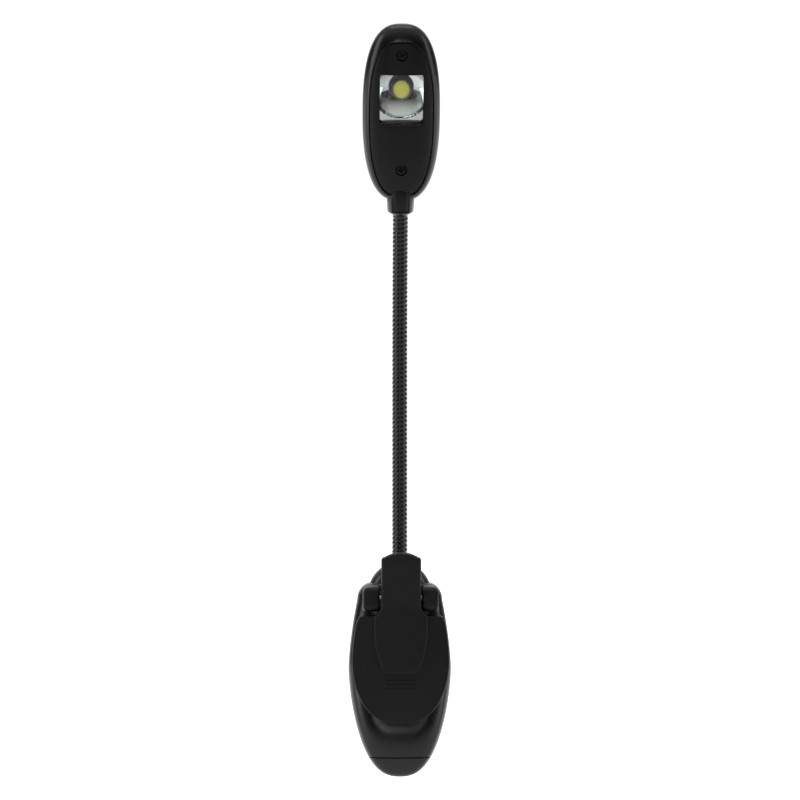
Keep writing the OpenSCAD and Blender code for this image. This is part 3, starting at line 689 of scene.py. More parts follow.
def wire_tree():
    """A round wire along a path."""
    tree, put = group("Wire along a path", [("Wire radius", "Float"), ("Material", "Material")])
    path = node(tree, "GeometryNodeMeshToCurve", {0: put["Geometry"]}).outputs[0]
    return closing(tree, wire_round(tree, path, 14, put["Wire radius"]), put["Material"])


def chain(count):
    """Edges that join points in a row."""
    return [(i, i + 1) for i in range(count - 1)]


# ---- the base; heights of the base and the clip are counted from the base's nose ----

WIDEST, SHOULDER, TOP = 39.2, 64, 70
SHOULDER_ROUND = TOP - SHOULDER
NARROWING, SHOULDER_IN = 3.2, 5.5  # how much narrower the shoulder is, and the top than that
NOSE_H, NOSE_SHARE, SHOULDER_SHARE = 20, 0.16, 0.82  # where and how far the depth runs out
FRONT_DEPTH, BACK_DEPTH, FLAT = 8.2, 8.5, 7.5
SEAM, SEAM_GAP = 7.2, 0.15  # the front shell starts over this seam, the back one holds the nose
CAVITY = (9, 66)
DOME_H, DOME_HALF = 66, 6
STEPS = 56
LUG = dict(r=4.7, inner=7.6, outer=13.5, top=3, root=2.6, power=3.2)
DOOR_LOW, DOOR_HIGH, DOOR_GAP = 14, 59, 0.15
NOTCH_R, NOTCH_H, NOTCH_OUT = 3.2, 55, 2.4
GROOVE_H, GROOVE_STEP, GROOVES = 22.5, 2.4, 4
BASE_SCREWS = [(-11.6, 62.3), (11.6, 62.3), (0, 9.6)]
BASE_PAD = dict(half=7.9, face=0.12, back=1.75, low=21.6, high=27.6, first=22.3, step=1.4)
JAW_PAD = dict(half=7.6, face=-0.12, back=-2.6, low=22.0, high=28.6, first=22.4, step=1.5)


def base_half_width(h):
    """Half the base's width at a height."""
    if h < WIDEST:
        return BASE_HALF * (1 - ((WIDEST - h) / WIDEST) ** 1.6) ** (1 / 2.6)
    if h < SHOULDER:
        return BASE_HALF - NARROWING * ((h - WIDEST) / (SHOULDER - WIDEST)) ** 1.5
    return BASE_HALF - NARROWING - SHOULDER_IN * (1 - shoulder_round(h))


def shoulder_round(h):
    """From 1 at the shoulder to 0 at the top, round a quarter turn."""
    return sqrt(max(0, 1 - ((h - SHOULDER) / SHOULDER_ROUND) ** 2))


def base_fade(h):
    """How much of its full depth the base has at a height."""
    if h < NOSE_H:
        return NOSE_SHARE + (1 - NOSE_SHARE) * (1 - ((NOSE_H - h) / NOSE_H) ** 2.2) ** (1 / 2.2)
    if h > SHOULDER:
        return SHOULDER_SHARE + (1 - SHOULDER_SHARE) * shoulder_round(h)
    return 1


def base_arc(h, side, taken=0.0, chamfer=0.0):
    """Points of one half's section from right to left, taken in by a distance."""
    w = max(0.05, base_half_width(h) - taken)
    d = (FRONT_DEPTH if side < 0 else BACK_DEPTH) * base_fade(h) - taken
    power = 3 if side < 0 else 4
    start = asin(min(0.9, chamfer / d)) if chamfer else 0.0
    # The front's flat face swells a little towards the nose.
    flat = FLAT + (max(0, NOSE_H + 1 - h) * 0.25 if side < 0 else 0)
    points = [(w - chamfer, 0.0)]
    for i in range(1, STEPS):
        a = start + (pi - 2 * start) * (i - 1) / (STEPS - 2)
        size = (abs(cos(a)) ** power + abs(sin(a)) ** power) ** (-1 / power)
        y = soft_limit(d * sin(a) * size, flat - taken, 0.22)
        points.append((w * cos(a) * size, side * max(0.0, y)))
    points.append((-(w - chamfer), 0.0))
    return points


def base_ring(h, side, hollow, wall, chamfer, taken=0.0):
    """A closed section of one half: its outer skin, then its inner one or the flat face."""
    outer = base_arc(h, side, taken, chamfer)
    if hollow:
        inner = base_arc(h, side, wall)[::-1]
    else:
        reach = outer[0][0] - 0.01
        inner = [(-reach + 2 * reach * i / STEPS, 0.0) for i in range(STEPS + 1)]
    return [(x, MID_Y + y, h) for x, y in outer + inner]


def base_heights(low, high):
    """Heights between two, closer together where the form curves."""
    found = [WIDEST * (1 - cos(radians(t))) for t in frange(1.2, 90, 2.4)]
    found += [WIDEST + (SHOULDER - WIDEST) * i / 12 for i in range(13)]
    found += [SHOULDER + SHOULDER_ROUND * sin(radians(t)) for t in frange(7.5, 90, 7.5)]
    return [h for h in found if low + 0.05 < h < high - 0.05]


def half_shell(side, low, wall, chamfer):
    """Rings of a half shell from a height up to the top, hollow where the cavity is."""
    spans = ((low, CAVITY[0], False), (*CAVITY, True), (CAVITY[1], TOP, False))
    return [base_ring(h, side, hollow, wall, chamfer)
            for a, b, hollow in spans for h in [a, *base_heights(a, b), b]]


def half_dome(side, radius, edge, chamfer):
    """One half of the round boss, cut flat on the parting plane."""
    profile = [(radius - chamfer, 0), (radius, chamfer), (radius, DOME_HALF - edge)]
    profile += arc(radius - edge, DOME_HALF - edge, edge, frange(7.5, 90, 7.5))
    turn = Matrix.Rotation(radians(-90 * side), 4, "X")
    return turned(lathe(profile, 120), Matrix.Translation((0, MID_Y, DOME_H)) @ turn)


def neck_bore():
    """The socket in the boss that the gooseneck goes into, with a small lead-in."""
    r = bpy.context.scene.lamp_neck.radius * 1000 + 0.1
    profile = [(r, 66.3), (r, 76.7), (r + 0.9, 78.4)]
    return turned(lathe(profile, 60), Matrix.Translation((0, MID_Y, 0)))


class LAMP_OT_base(bpy.types.Operator):
    """Makes the base's front and back shells with the round boss and the hinge lugs"""

    bl_idname = "lamp.base"
    bl_label = "Base shells"

    def execute(self, context):
        s = context.scene.lamp_base
        wall, chamfer = s.wall * 1000, s.parting * 1000
        radius, edge = s.dome_radius * 1000, s.dome_edge * 1000
        low = SEAM + SEAM_GAP
        rings = [base_ring(low, -1, False, wall, chamfer, 0.2)]
        rings += half_shell(-1, low + 0.2, wall, chamfer)
        front = new_object("front_shell", [band(rings, caps=(0, -1))], BASE)
        cut(front, [half_dome(-1, radius, edge, chamfer)], BASE, "UNION")
        pad_pocket = box_part((-BASE_PAD["half"] - 0.1, -1, BASE_PAD["low"] - 0.1),
                              (BASE_PAD["half"] + 0.1, 1.8, BASE_PAD["high"] + 0.1))
        cut(front, [neck_bore(), pad_pocket], BASE)
        finish_piece(front, "gloss", "base", ["base_front_shell"])
        pin_hole = rod(1.03, -20, 20, 40, Matrix.Translation((0, HINGE.y, HINGE_H)) @ ALONG_X)
        for side, name in ((-1, "left_lug"), (1, "right_lug")):
            lug = new_object(name, [self.lug(side, s.ear_round * 1000, **LUG)], BASE)
            cut(lug, [pin_hole], BASE)
            finish_piece(lug, "matt", "base")

        nose_heights = [0.02, 0.1, *base_heights(0.1, SEAM - 0.3), SEAM - 0.2]
        rings = [self.nose_ring(h, 0) for h in nose_heights] + [self.nose_ring(SEAM, 0.2)]
        rings += half_shell(1, SEAM + 0.001, wall, chamfer)
        back = new_object("back_shell", [band(rings, caps=(0, -1))], BASE)
        cut(back, [half_dome(1, radius, edge, chamfer)], BASE, "UNION")
        recess = lathe([(0.9, -8), (0.9, -1.2), (2.0, -1.2), (2.0, -0.15), (2.35, 0.3)], 48)
        cut(back, [neck_bore(), *self.door_room()], BASE)
        cut(back, [turned(recess, Matrix.Translation((x, BACK_Y, h)) @ ALONG_Y)
                   for x, h in BASE_SCREWS], BASE)
        finish_piece(back, "gloss", "base", ["base_back_shell"])
        return {"FINISHED"}

    def door_room(self):
        """What the battery door needs: its opening, its barrel's and pins' seats, and room
        below the hinge to swing."""
        side = DOOR_HALF + DOOR_GAP
        corners = [(-side, DOOR_LOW), (side, DOOR_LOW), (side, DOOR_HIGH), (-side, DOOR_HIGH)]
        opening = rounded(corners, 1.3)
        levels = ((13, opening), (BACK_Y - 0.18, opening), (BACK_Y + 0.3, inset(opening, -0.48)))
        hole = band([[(u, y, h) for u, h in outline] for y, outline in levels], caps=(0, -1))
        return (hole, rod(1.15, -side, side, 40, DOOR_AXIS),
                rod(0.65, -side - 0.9, side + 0.9, 32, DOOR_AXIS),
                box_part((-side, DOOR_Y, DOOR_H - 1.15), (side, BACK_Y + 1, DOOR_LOW + 1.5)))

    def nose_ring(self, h, taken):
        """A full section of the nose, its front taken in for the seam."""
        points = base_arc(h, 1) + base_arc(h, -1, taken)[::-1]
        return [(x, MID_Y + y, h) for x, y in points]

    def lug(self, side, edge, r, inner, outer, top, root, power):
        """A hinge lug: a round-nosed bar with a full outer top corner."""
        profile = []
        for a in frange(0, 180, 4):
            c, q = -cos(radians(a)), sin(radians(a))
            size = r * (abs(c) ** power + abs(q) ** power) ** (-1 / power)
            profile.append((HINGE.y - q * size, c * size))
        profile += [(root, r), (root, -r)]
        plate = slab(profile[::-1], outer - inner, edge * 1.6, edge, 6)

        def place(u, v, w):
            x = outer - w
            ceiling = r - top + sqrt(max(0.0, top ** 2 - max(0.0, x - (outer - top)) ** 2))
            return side * x, u, HINGE_H + min(v, ceiling)

        return bent(plate, place)


class LAMP_OT_door(bpy.types.Operator):
    """Makes the battery door with its finger notch, grip grooves and hinge pins"""

    bl_idname = "lamp.door"
    bl_label = "Battery door"

    def execute(self, context):
        half, low, high = DOOR_HALF, DOOR_LOW + 0.05, DOOR_HIGH - DOOR_GAP
        outline = rounded([(-half, low), (half, low), (half, high), (-half, high)], 1.2)
        plate = bent(slab(outline, 2, 0.3, 0.2, 4), lambda u, v, w: (u, BACK_Y - w, v))
        door = new_object("battery_door_panel", [plate], BASE)
        barrel = [(0.8, -half), (1, 0.2 - half), (1, half - 0.2), (0.8, half)]
        tip, foot = half + DOOR_PIN, half + DOOR_PIN - 0.2
        pins = [(0.4, -tip), (0.6, -foot), (0.6, foot), (0.4, tip)]
        cut(door, [turned(lathe(barrel, 40), DOOR_AXIS)], BASE, "UNION")
        cut(door, [turned(lathe(pins, 32), DOOR_AXIS)], BASE, "UNION")
        ends = [(NOTCH_R - 0.6, -4.5), (NOTCH_R - 0.1, -4.2), (NOTCH_R, -3.8)]
        notch = lathe(ends + [(r, -x) for r, x in ends[::-1]], 72)
        spot = Matrix.Translation((0, BACK_Y + NOTCH_OUT, NOTCH_H)) @ ALONG_X
        cut(door, [turned(notch, spot)], BASE)
        bar = lathe([(0.35, -6), (0.5, -5.8), (0.5, 5.8), (0.35, 6)], 16)
        groove = new_object("groove", [turned(bar, ALONG_X)], ROW)
        heights = [NOSE_Z + GROOVE_H + GROOVE_STEP * i for i in range(GROOVES)]
        grooves = at_points("door_grooves", groove, [(0, BACK_Y + 0.2, z) for z in heights])
        cut_by(door, grooves, use_self=False)
        finish_piece(door, "gloss", "door", ["battery_door"])
        return {"FINISHED"}


class LAMP_OT_neck(bpy.types.Operator):
    """Winds the gooseneck in twelve lengths, each bending across one joint"""

    bl_idname = "lamp.neck"
    bl_label = "Gooseneck"

    def execute(self, context):
        s = context.scene.lamp_neck
        pitch, reach, last = s.pitch * 1000, LINK / 2, len(PIVOTS) - 1
        into_base, into_head, step = 4.2, 4.6, 0.3
        tree = winding_tree()
        lean = [(b - a).normalized() for a, b in zip(PIVOTS, PIVOTS[1:])]
        lean = [Vector((0, 0, 1)), *lean, HEAD_UP]
        start = 0.0
        for k, pivot in enumerate(PIVOTS):
            low, high = pivot - reach * lean[k], pivot + reach * lean[k + 1]
            path = [bow(low, pivot, high, t) for t in frange(0, 1, 0.05)]
            before, after = into_base if k == 0 else 0, into_head if k == last else 0
            if before:
                path = [low - lean[0] * d for d in frange(before, step, -step)] + path
            if after:
                path += [high + lean[-1] * d for d in frange(step, after, step)]
            turns = (before + 2 * reach + after) / pitch
            values = {"Turns": turns, "Start": start, "Coil radius": s.radius - s.wire,
                      "Wire radius": s.wire, "Liner radius": s.radius - 0.0003,
                      "Steps": s.steps, "Material": MATERIALS["neck"]}
            piece = grown(f"gooseneck_{k + 1:02d}", path, chain(len(path)), tree, values)
            start = (start + turns) % 1
            nodes = ["neck_end"] if k == last else []
            nodes.append(f"neck_link_{k}" if k else "neck_foot")
            finish_piece(piece, "neck", None, nodes, 50)
            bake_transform(piece)
        return {"FINISHED"}


class LAMP_OT_spring(bpy.types.Operator):
    """Winds the clip's torsion spring, its foot on the base and its arm behind the thumb tab"""

    bl_idname = "lamp.spring"
    bl_label = "Torsion spring"

    def execute(self, context):
        half, r, turned_by = 2.9, 2.1, 360 * 5.5
        path = [(-half, 4.1, 4.2), (-half, 3.4, 2.8), (-half, 2.75, 1.5)]
        for t in frange(0, turned_by, 15):
            a = radians(t)
            path.append((-half + 2 * half * t / turned_by, r * cos(a), -r * sin(a)))
        arm = ((-2.3, 0.8), (-2.75, 1.7), (-3.4, 2.9), (-4.4, 4.3), (-5.3, 5.5))
        path += [(half, *p) for p in arm]
        points = [HINGE + Vector(p) for p in path]
        values = {"Wire radius": 0.0004, "Material": MATERIALS["spring"]}
        spring = grown("torsion_spring_wire", points, chain(len(points)), wire_tree(), values)
        nodes = ["torsion_spring", "torsion_spring_arm"]
        finish_piece(spring, "spring", None, nodes, 50)
        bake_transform(spring)
        return {"FINISHED"}


# ---- the clip ----

JAW_WIDEST, JAW_TOP, JAW_HALF, JAW_REACH = 43, 59.4, 17.4, 22.7
LEVER_FOOT, LEVER_WIDEST, LEVER_NECK, LEVER_HALF = 38.8, 52, 58.6, 9.7
JAW_FRONT, LEVER_FRONT = 1.5, 5.9  # from the pinch plane to the jaw's back and the lever's front
BEND_AT, TAB_TOP, TAB_ARC = 40.5, 60.9, 11.0  # along the plate, from the pinch line
RIDGE_H, RIDGE_STEP = 32.8, 1.6


def jaw_half_width(h):
    """Half the jaw plate's width at a height over the nose."""
    if h < JAW_WIDEST:
        return JAW_HALF * max(0, 1 - ((JAW_WIDEST - h) / JAW_REACH) ** 1.95) ** (1 / 2.55)
    return JAW_HALF - 2.1 * ((h - JAW_WIDEST) / (JAW_TOP - JAW_WIDEST)) ** 1.8


def lever_half_width(h):
    """Half the raised lever's width at a height over the nose."""
    if h < LEVER_WIDEST:
        return LEVER_HALF - 3.4 * ((LEVER_WIDEST - h) / (LEVER_WIDEST - LEVER_FOOT)) ** 1.5
    if h < LEVER_NECK:
        return LEVER_HALF
    return LEVER_HALF - 2.6 * (1 - cos(pi * min(1, (h - LEVER_NECK) / 4.2))) / 2


class LAMP_OT_clip(bpy.types.Operator):
    """Makes the clip's lever: jaw plate, raised lever and thumb tab, knuckles and grip ridges"""

    bl_idname = "lamp.clip"
    bl_label = "Clip lever"

    def execute(self, context):
        s = context.scene.lamp_clip
        thick, corner, gap = s.jaw_thickness * 1000, 1.5, 0.02
        front = JAW_FRONT + thick
        heights = [JAW_WIDEST - JAW_REACH * cos(radians(t)) for t in frange(1, 89, 2)]
        heights += frange(JAW_WIDEST, JAW_TOP, (JAW_TOP - JAW_WIDEST) / 10)
        right = [(jaw_half_width(h), h - PINCH_H) for h in heights]
        w, v = right.pop()
        right += arc(w - corner, v - corner, corner, frange(0, 90, 10))
        plate = slab(both_sides(right), thick, s.jaw_edge * 1000, 0.35, 5)
        jaw = new_object("jaw_plate", [bent(plate, lambda u, v, w: (u, w - front, v))], JAW)
        side, low, high = (JAW_PAD[key] for key in ("half", "low", "high"))
        pocket = box_part((-side - gap, JAW_PAD["back"] - gap, low - gap - PINCH_H),
                          (side + gap, 0, high + gap - PINCH_H))
        cut(jaw, [pocket], ROW)
        finish_piece(jaw, "matt", "lever", ["clip_lever"])

        lever = new_object("raised_lever", [self.lever(s)], ROW)
        finish_piece(lever, "matt", "lever", (), 40)

        profile = [(-5.1, -3.2), *arc(0, 0, 3.8, frange(-122, 122, 4)), (-5.1, 3.2)]
        half_barrel = slab(profile, 3.0, 0.4, 0.4, 4)
        for side, name in ((-1, "left_knuckle"), (1, "right_knuckle")):
            body = bent(half_barrel, lambda u, v, w, side=side: (side * (6.9 - w), u, v))
            knuckle = new_object(name, [body], TAB)
            cut(knuckle, [rod(1.06, -9, 9, 40, ALONG_X)], TAB)
            finish_piece(knuckle, "matt", "lever")

        half, r = s.ridge_length * 500, s.ridge_width * 500
        bar = lathe(self.ridge_profile(half, r), 20)
        ridge = new_object("ridge", [turned(bar, ALONG_X)], ROW)
        spots = [JAW @ Vector((0, 0.12 - front, RIDGE_H + RIDGE_STEP * i - PINCH_H)) * 1000
                 for i in range(s.ridges)]
        ridges = at_points("grip_ridges", ridge, spots, "matt")
        finish_piece(ridges, "matt", "lever")
        return {"FINISHED"}

    def ridge_profile(self, half, r):
        """A round-ended bar's (radius, height) pairs."""
        tip = [(r * sin(radians(t)), r - half - r * cos(radians(t))) for t in frange(15, 90, 15)]
        return tip + [(radius, -x) for radius, x in tip[::-1]]

    def outline(self):
        """The raised lever's outline: round at its foot, waisted, and bowed at its top."""
        foot_round, shoulder, middle = 1.1, 1.1, 3
        heights = frange(LEVER_FOOT, 62.8, 0.6) + frange(63.4, BEND_AT + PINCH_H, 0.8)
        levels = [h - PINCH_H for h in heights] + frange(BEND_AT + 1.2, TAB_TOP - 3.2, 1.2)
        right = [(lever_half_width(v + PINCH_H), v) for v in levels]
        foot, low = right[0]
        right[:2] = arc(foot - foot_round, low + foot_round, foot_round, frange(-90, -15, 15))
        side = right[-1][0]
        edge = degrees(asin((side - shoulder) / TAB_ARC))
        turns = [90 - a for a in frange(edge, middle, -(edge - middle) / 8)]
        top = arc(0, TAB_TOP - TAB_ARC, TAB_ARC, turns)
        start, knee = Vector((side, top[0][1] - 1.3)), Vector((side, top[0][1] - 0.1))
        turn = [tuple(bow(start, knee, Vector(top[0]), t)) for t in frange(0, 0.8, 0.2)]
        return both_sides([p for p in right if p[1] < start.y - 0.2] + turn + top)

    def lever(self, s):
        """The raised lever and thumb tab, one plate that bends forward above the hinge."""
        plate = slab(self.outline(), s.lever_thickness * 1000, s.lever_edge * 1000, 0.35, 6,
                     rows=True)
        upwards = Vector((0, -sin(JAW_TILT), cos(JAW_TILT)))
        front = Vector((0, -LEVER_FRONT * cos(JAW_TILT), -LEVER_FRONT * sin(JAW_TILT)))
        first, step = BEND_AT - 4, 0.1

        def lean(v):
            t = min(1, max(0, (v - BEND_AT + 3) / 6))
            return JAW_TILT + (TAB_LEAN - JAW_TILT) * t * t * (3 - 2 * t)

        # The bent part's front line, walked in small steps.
        path, spot = [], front + upwards * first
        for i in range(int(26 / step)):
            path.append(spot.copy())
            a = lean(first + i * step)
            spot += Vector((0, -sin(a), cos(a))) * step

        def place(u, v, w):
            a = lean(v)
            if v <= first:
                at = front + upwards * v
            else:
                t = (v - first) / step
                at = path[int(t)].lerp(path[min(int(t) + 1, len(path) - 1)], t - int(t))
            return u, at.y + w * cos(a), at.z + w * sin(a)

        return bent(plate, place)


class LAMP_OT_pads(bpy.types.Operator):
    """Makes the two grooved rubber pads that grip the page"""

    bl_idname = "lamp.pads"
    bl_label = "Grip pads"

    def execute(self, context):
        self.pad("base_grip_pad", "base", "base_pad", **BASE_PAD)
        self.pad("jaw_grip_pad", "lever", "jaw_pad", **JAW_PAD)
        return {"FINISHED"}

    def pad(self, name, body, stands_for, half, face, back, low, high, first, step):
        """One pad: a block whose face has four grooves with sloping sides."""
        floor = face + (0.38 if back > face else -0.38)
        line = [(face, low)]
        for a in (first + step * i for i in range(4)):
            line += [(face, a), (floor, a + 0.12), (floor, a + 0.48), (face, a + 0.6)]
        line += [(face, high), (back, high), (back, low)]
        rows = [[(x, y, z) for y, z in line] for x in (-half, half)]
        pad = new_object(name, [band(rows, caps=(0, -1))], BASE)
        soft = pad.modifiers.new("Edges", "BEVEL")
        soft.width, soft.segments = 0.00012, 2
        soft.limit_method, soft.angle_limit = "ANGLE", radians(35)
        finish_piece(settled(pad), "rubber", body, [stands_for], 40)


# ---- the head, in its own frame: the foot of the collar is its origin ----

HEAD_LOW, HEAD_MID, WINDOW_MID, BUTTON_H = 5, 38, 43.4, 42
FRONT_BULGE, BACK_BULGE = 6.5, 7.5
AROUND = 180
HEAD_SCREWS, CUP_FLOOR = (17.6, 59.4), -3.85
COLLAR = [(2.95, 0), (4.55, 1.2), (4.66, 1.45), (4.93, 7.6), (4.8, 8.0), (3.4, 8.0),
          (3.4, 1.3), (2.83, 1.3), (2.83, 0)]
TONGUE = [(3.45, 1.75), (4.38, 1.75), (4.5, 1.95), (4.78, 7.9), (4.7, 8.3), (4.2, 9.3), (3.45, 9.3)]
LENS_FRONT, LENS_BACK, LENS_LAP = 1.84, 2.84, 0.9
LIGHT_RISE = 1.4  # the light chip sits this much higher than the CAD's
LIGHT_H = (HEAD.inverted() @ (sum(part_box("led_dome"), Vector()) / 2)).z + LIGHT_RISE


def head_half_width(u, sizes):
    """Half the head's width at a share of the way from its widest level to its end."""
    return sizes.width * 500 * (1 - u ** 2.5) ** (1 / 2.7)


def skin(sizes, side, taken=0.0):
    """Depth of the head's surface in front of or behind its parting plane, taken in by a
    distance, as a function of a place seen from the front."""
    top = sizes.height * 1000
    middle = (top + HEAD_LOW) / 2
    squeeze = (top - HEAD_LOW - 2 * taken) / (top - HEAD_LOW)
    bulge = FRONT_BULGE if side < 0 else BACK_BULGE

    def depth(x, h):
        h = middle + (h - middle) / squeeze
        reach = top - HEAD_MID if h > HEAD_MID else HEAD_MID - HEAD_LOW
        u = min(1, abs(h - HEAD_MID) / reach)
        w = head_half_width(u, sizes) - taken
        d = bulge * (1 - u ** 3) ** (1 / 2.6) - taken
        share = min(1, abs(x) / max(w, 1e-6))
        return side * max(0, d) * (1 - share ** 2.2) ** (1 / 2.2)

    return depth


def head_outline(taken, sizes, foot=None):
    """The head's outline from the front, taken in, and kept over a foot where one is given."""
    top = sizes.height * 1000
    full = []
    for t in frange(-90, 90, 1):
        s = sin(radians(t))
        h = HEAD_MID + s * (HEAD_MID - HEAD_LOW if s < 0 else top - HEAD_MID)
        full.append((head_half_width(abs(s), sizes), h))
    line = full + [(-x, h) for x, h in full[::-1]][1:-1]
    line = inset(line, taken) if taken else line
    if foot is not None:
        line = [(x, -soft_limit(-h, -foot, 0.25)) for x, h in line]
    return evenly(line, (0, HEAD_MID))


def plate_outline(taken, sizes, foot):
    """The face plate's outline: the head's, taken in, and held lower at its top."""
    full = sizes.height * 1000 - sizes.rim * 1000
    squeeze = (sizes.plate_top * 1000 - HEAD_MID) / (full - HEAD_MID)
    line = head_outline(taken, sizes, foot)
    return evenly([(x, h if h < HEAD_MID else HEAD_MID + (h - HEAD_MID) * squeeze)
                   for x, h in line], (0, HEAD_MID))


def ray_angles():
    """The even angles at which every outline of the head has its points."""
    return [-pi + tau * (i + 0.5) / AROUND for i in range(AROUND)]


def evenly(line, centre):
    """Points of a closed outline where the rays from a centre meet it."""
    out, j = [], 0
    polar = sorted((atan2(h - centre[1], x - centre[0]), x, h) for x, h in line)
    first, last = polar[0], polar[-1]
    polar = [(last[0] - tau, *last[1:]), *polar, (first[0] + tau, *first[1:])]
    for a in ray_angles():
        while polar[j + 1][0] < a:
            j += 1
        p, q = (Vector(polar[k][1:]) - Vector(centre) for k in (j, j + 1))
        ray, e = Vector((cos(a), sin(a))), q - p
        bottom = ray.x * e.y - ray.y * e.x
        reach = (p.x * e.y - p.y * e.x) / bottom if abs(bottom) > 1e-12 else p.length
        out.append((centre[0] + ray.x * reach, centre[1] + ray.y * reach))
    return out


def mixed(first, second, t):
    """Points part of the way from one outline to another."""
    return [(a[0] + (b[0] - a[0]) * t, a[1] + (b[1] - a[1]) * t) for a, b in zip(first, second)]


def circle(centre, radius):
    """A circle as an outline with as many points as the head's."""
    return [(centre[0] + radius * cos(a), centre[1] + radius * sin(a)) for a in ray_angles()]


def rectangle(width, height, radius, centre=(0, 0)):
    """A rounded rectangle round the window's middle, its points on rays from a centre."""
    w, h = width / 2, height / 2
    shape = rounded([(-w, -h), (w, -h), (w, h), (-w, h)], radius, 8)
    return evenly([(x, y + WINDOW_MID) for x, y in shape], centre)


def lay(outline, depth=None, shift=0.0):
    """A ring of points from an outline, a depth function of x and h, and a shift."""
    return [(x, (depth(x, h) if depth else 0) + shift, h) for x, h in outline]


class LAMP_OT_head(bpy.types.Operator):
    """Makes the head's shell with its collar, and the satin face plate let into it"""

    bl_idname = "lamp.head"
    bl_label = "Head"

    def execute(self, context):
        s = context.scene.lamp_head
        edge, wall, soft = s.rim * 1000, s.wall * 1000, 0.45
        outline = head_outline(0, s)
        lip = plate_outline(edge - 0.12, s, 7.0)
        lip_top = plate_outline(edge - 0.55, s, 6.6)
        hole, hole_lip = (circle((0, BUTTON_H), r) for r in (3.6, 3.95))
        inner, lining = head_outline(wall, s, 6.6), skin(s, 1, wall)
        front, back = skin(s, -1), skin(s, 1)
        rings = [lay(lip, None, -1.2), lay(lip, lambda x, h: front(x, h) * 0.72)]
        for share, rise in quarter((0.0, 0.35, 0.7, 1.0)):
            rings.append(lay(mixed(lip, lip_top, share), front, soft * (1 - rise)))
        rings += [lay(mixed(lip_top, outline, rise), front)
                  for _, rise in quarter(frange(0.08, 1, 0.0484))]
        rings += [lay(mixed(hole_lip, outline, 1 - share), back)
                  for share, _ in quarter(frange(0.04, 1, 0.04))]
        rings += [lay(mixed(hole, hole_lip, 0.4), back, -0.1), lay(hole, back, -0.4)]
        rings += [lay(mixed(hole, inner, t), lining) for t in (0, 0.25, 0.5, 0.75, 0.9)]
        rings.append(lay(inner, None, 0.2))
        shell = new_object("head_shell_body", [band(rings, loop=True)], HEAD)
        turn = [2 * pi * i / 96 for i in range(96)]
        rows = [[(r * cos(a), r * sin(a), h) for a in turn] for r, h in COLLAR]
        ring = new_object("head_collar", [band(rows, loop=True)], HEAD)
        tongue_slot = box_part((-3.14, -9, 1.62), (3.14, -2.6, 12.4))
        for piece, nodes in ((shell, ["head_shell"]), (ring, ())):
            cut(piece, [tongue_slot], HEAD)
            finish_piece(piece, "gloss", "head", nodes)
        self.face(s)
        return {"FINISHED"}

    def face(self, s):
        """The face plate: a convex sheet with a window, two screw recesses, and a tongue down
        the collar."""
        rim, wall, sunk, soft, foot = s.rim * 1000, s.wall * 1000, 0.3, 0.35, 7.1
        size = (s.window_width * 1000, s.window_height * 1000, s.window_corner * 1000)
        window = rectangle(*size, centre=(0, WINDOW_MID))
        lip = rectangle(size[0] + 0.7, size[1] + 0.9, size[2] + 0.35, centre=(0, WINDOW_MID))
        outer, inner = plate_outline(rim, s, foot), plate_outline(rim + soft, s, foot + soft)
        front, back = skin(s, -1, sunk), skin(s, -1, wall + sunk)
        rings = [lay(outer, front, 1.0)]
        for share, rise in quarter((0.0, 0.3, 0.65, 1.0)):
            near = plate_outline(rim + soft * share, s, foot + soft * share)
            rings.append(lay(near, front, soft * (1 - rise)))
        rings += [lay(mixed(inner, lip, t), front) for t in frange(0.06, 1, 0.0588)]
        rings += [lay(mixed(lip, window, rise), front, 0.45 * share)
                  for share, rise in quarter((0.35, 0.7, 1.0))]
        rings.append(lay(window, back))
        rings += [lay(mixed(window, outer, t), back) for t in frange(0.15, 1, 0.17)]
        plate = new_object("face_plate", [band(rings, loop=True)], HEAD)
        cups = [rod(2.6, CUP_FLOOR - 0.9, CUP_FLOOR + 0.75, 48,
                    Matrix.Translation((0, 0, h)) @ ALONG_Y) for h in HEAD_SCREWS]
        cut(plate, cups, HEAD, "UNION")
        recess = lathe([(1.0, -3), (1.0, 0), (2.05, 0), (2.05, 1.5), (2.15, 8)], 60)
        holes = [turned(recess, Matrix.Translation((0, CUP_FLOOR, h)) @ FACE_FRONT)
                 for h in HEAD_SCREWS]
        cut(plate, holes + [rod(3.42, -1, 10.4, 60)], HEAD)
        finish_piece(plate, "matt", "head", ["head_cover"], 38)

        turn = [radians(-90 + t) for t in frange(-42, 42, 2)]
        rows = [[(r * cos(a), r * sin(a), h) for r, h in TONGUE] for a in turn]
        tongue = new_object("face_tongue", [band(rows, caps=(0, -1))], HEAD)
        cut(tongue, [box_part((-3.03, -9, 0), (3.03, 0, 12))], HEAD, "INTERSECT")
        finish_piece(tongue, "matt", "head")


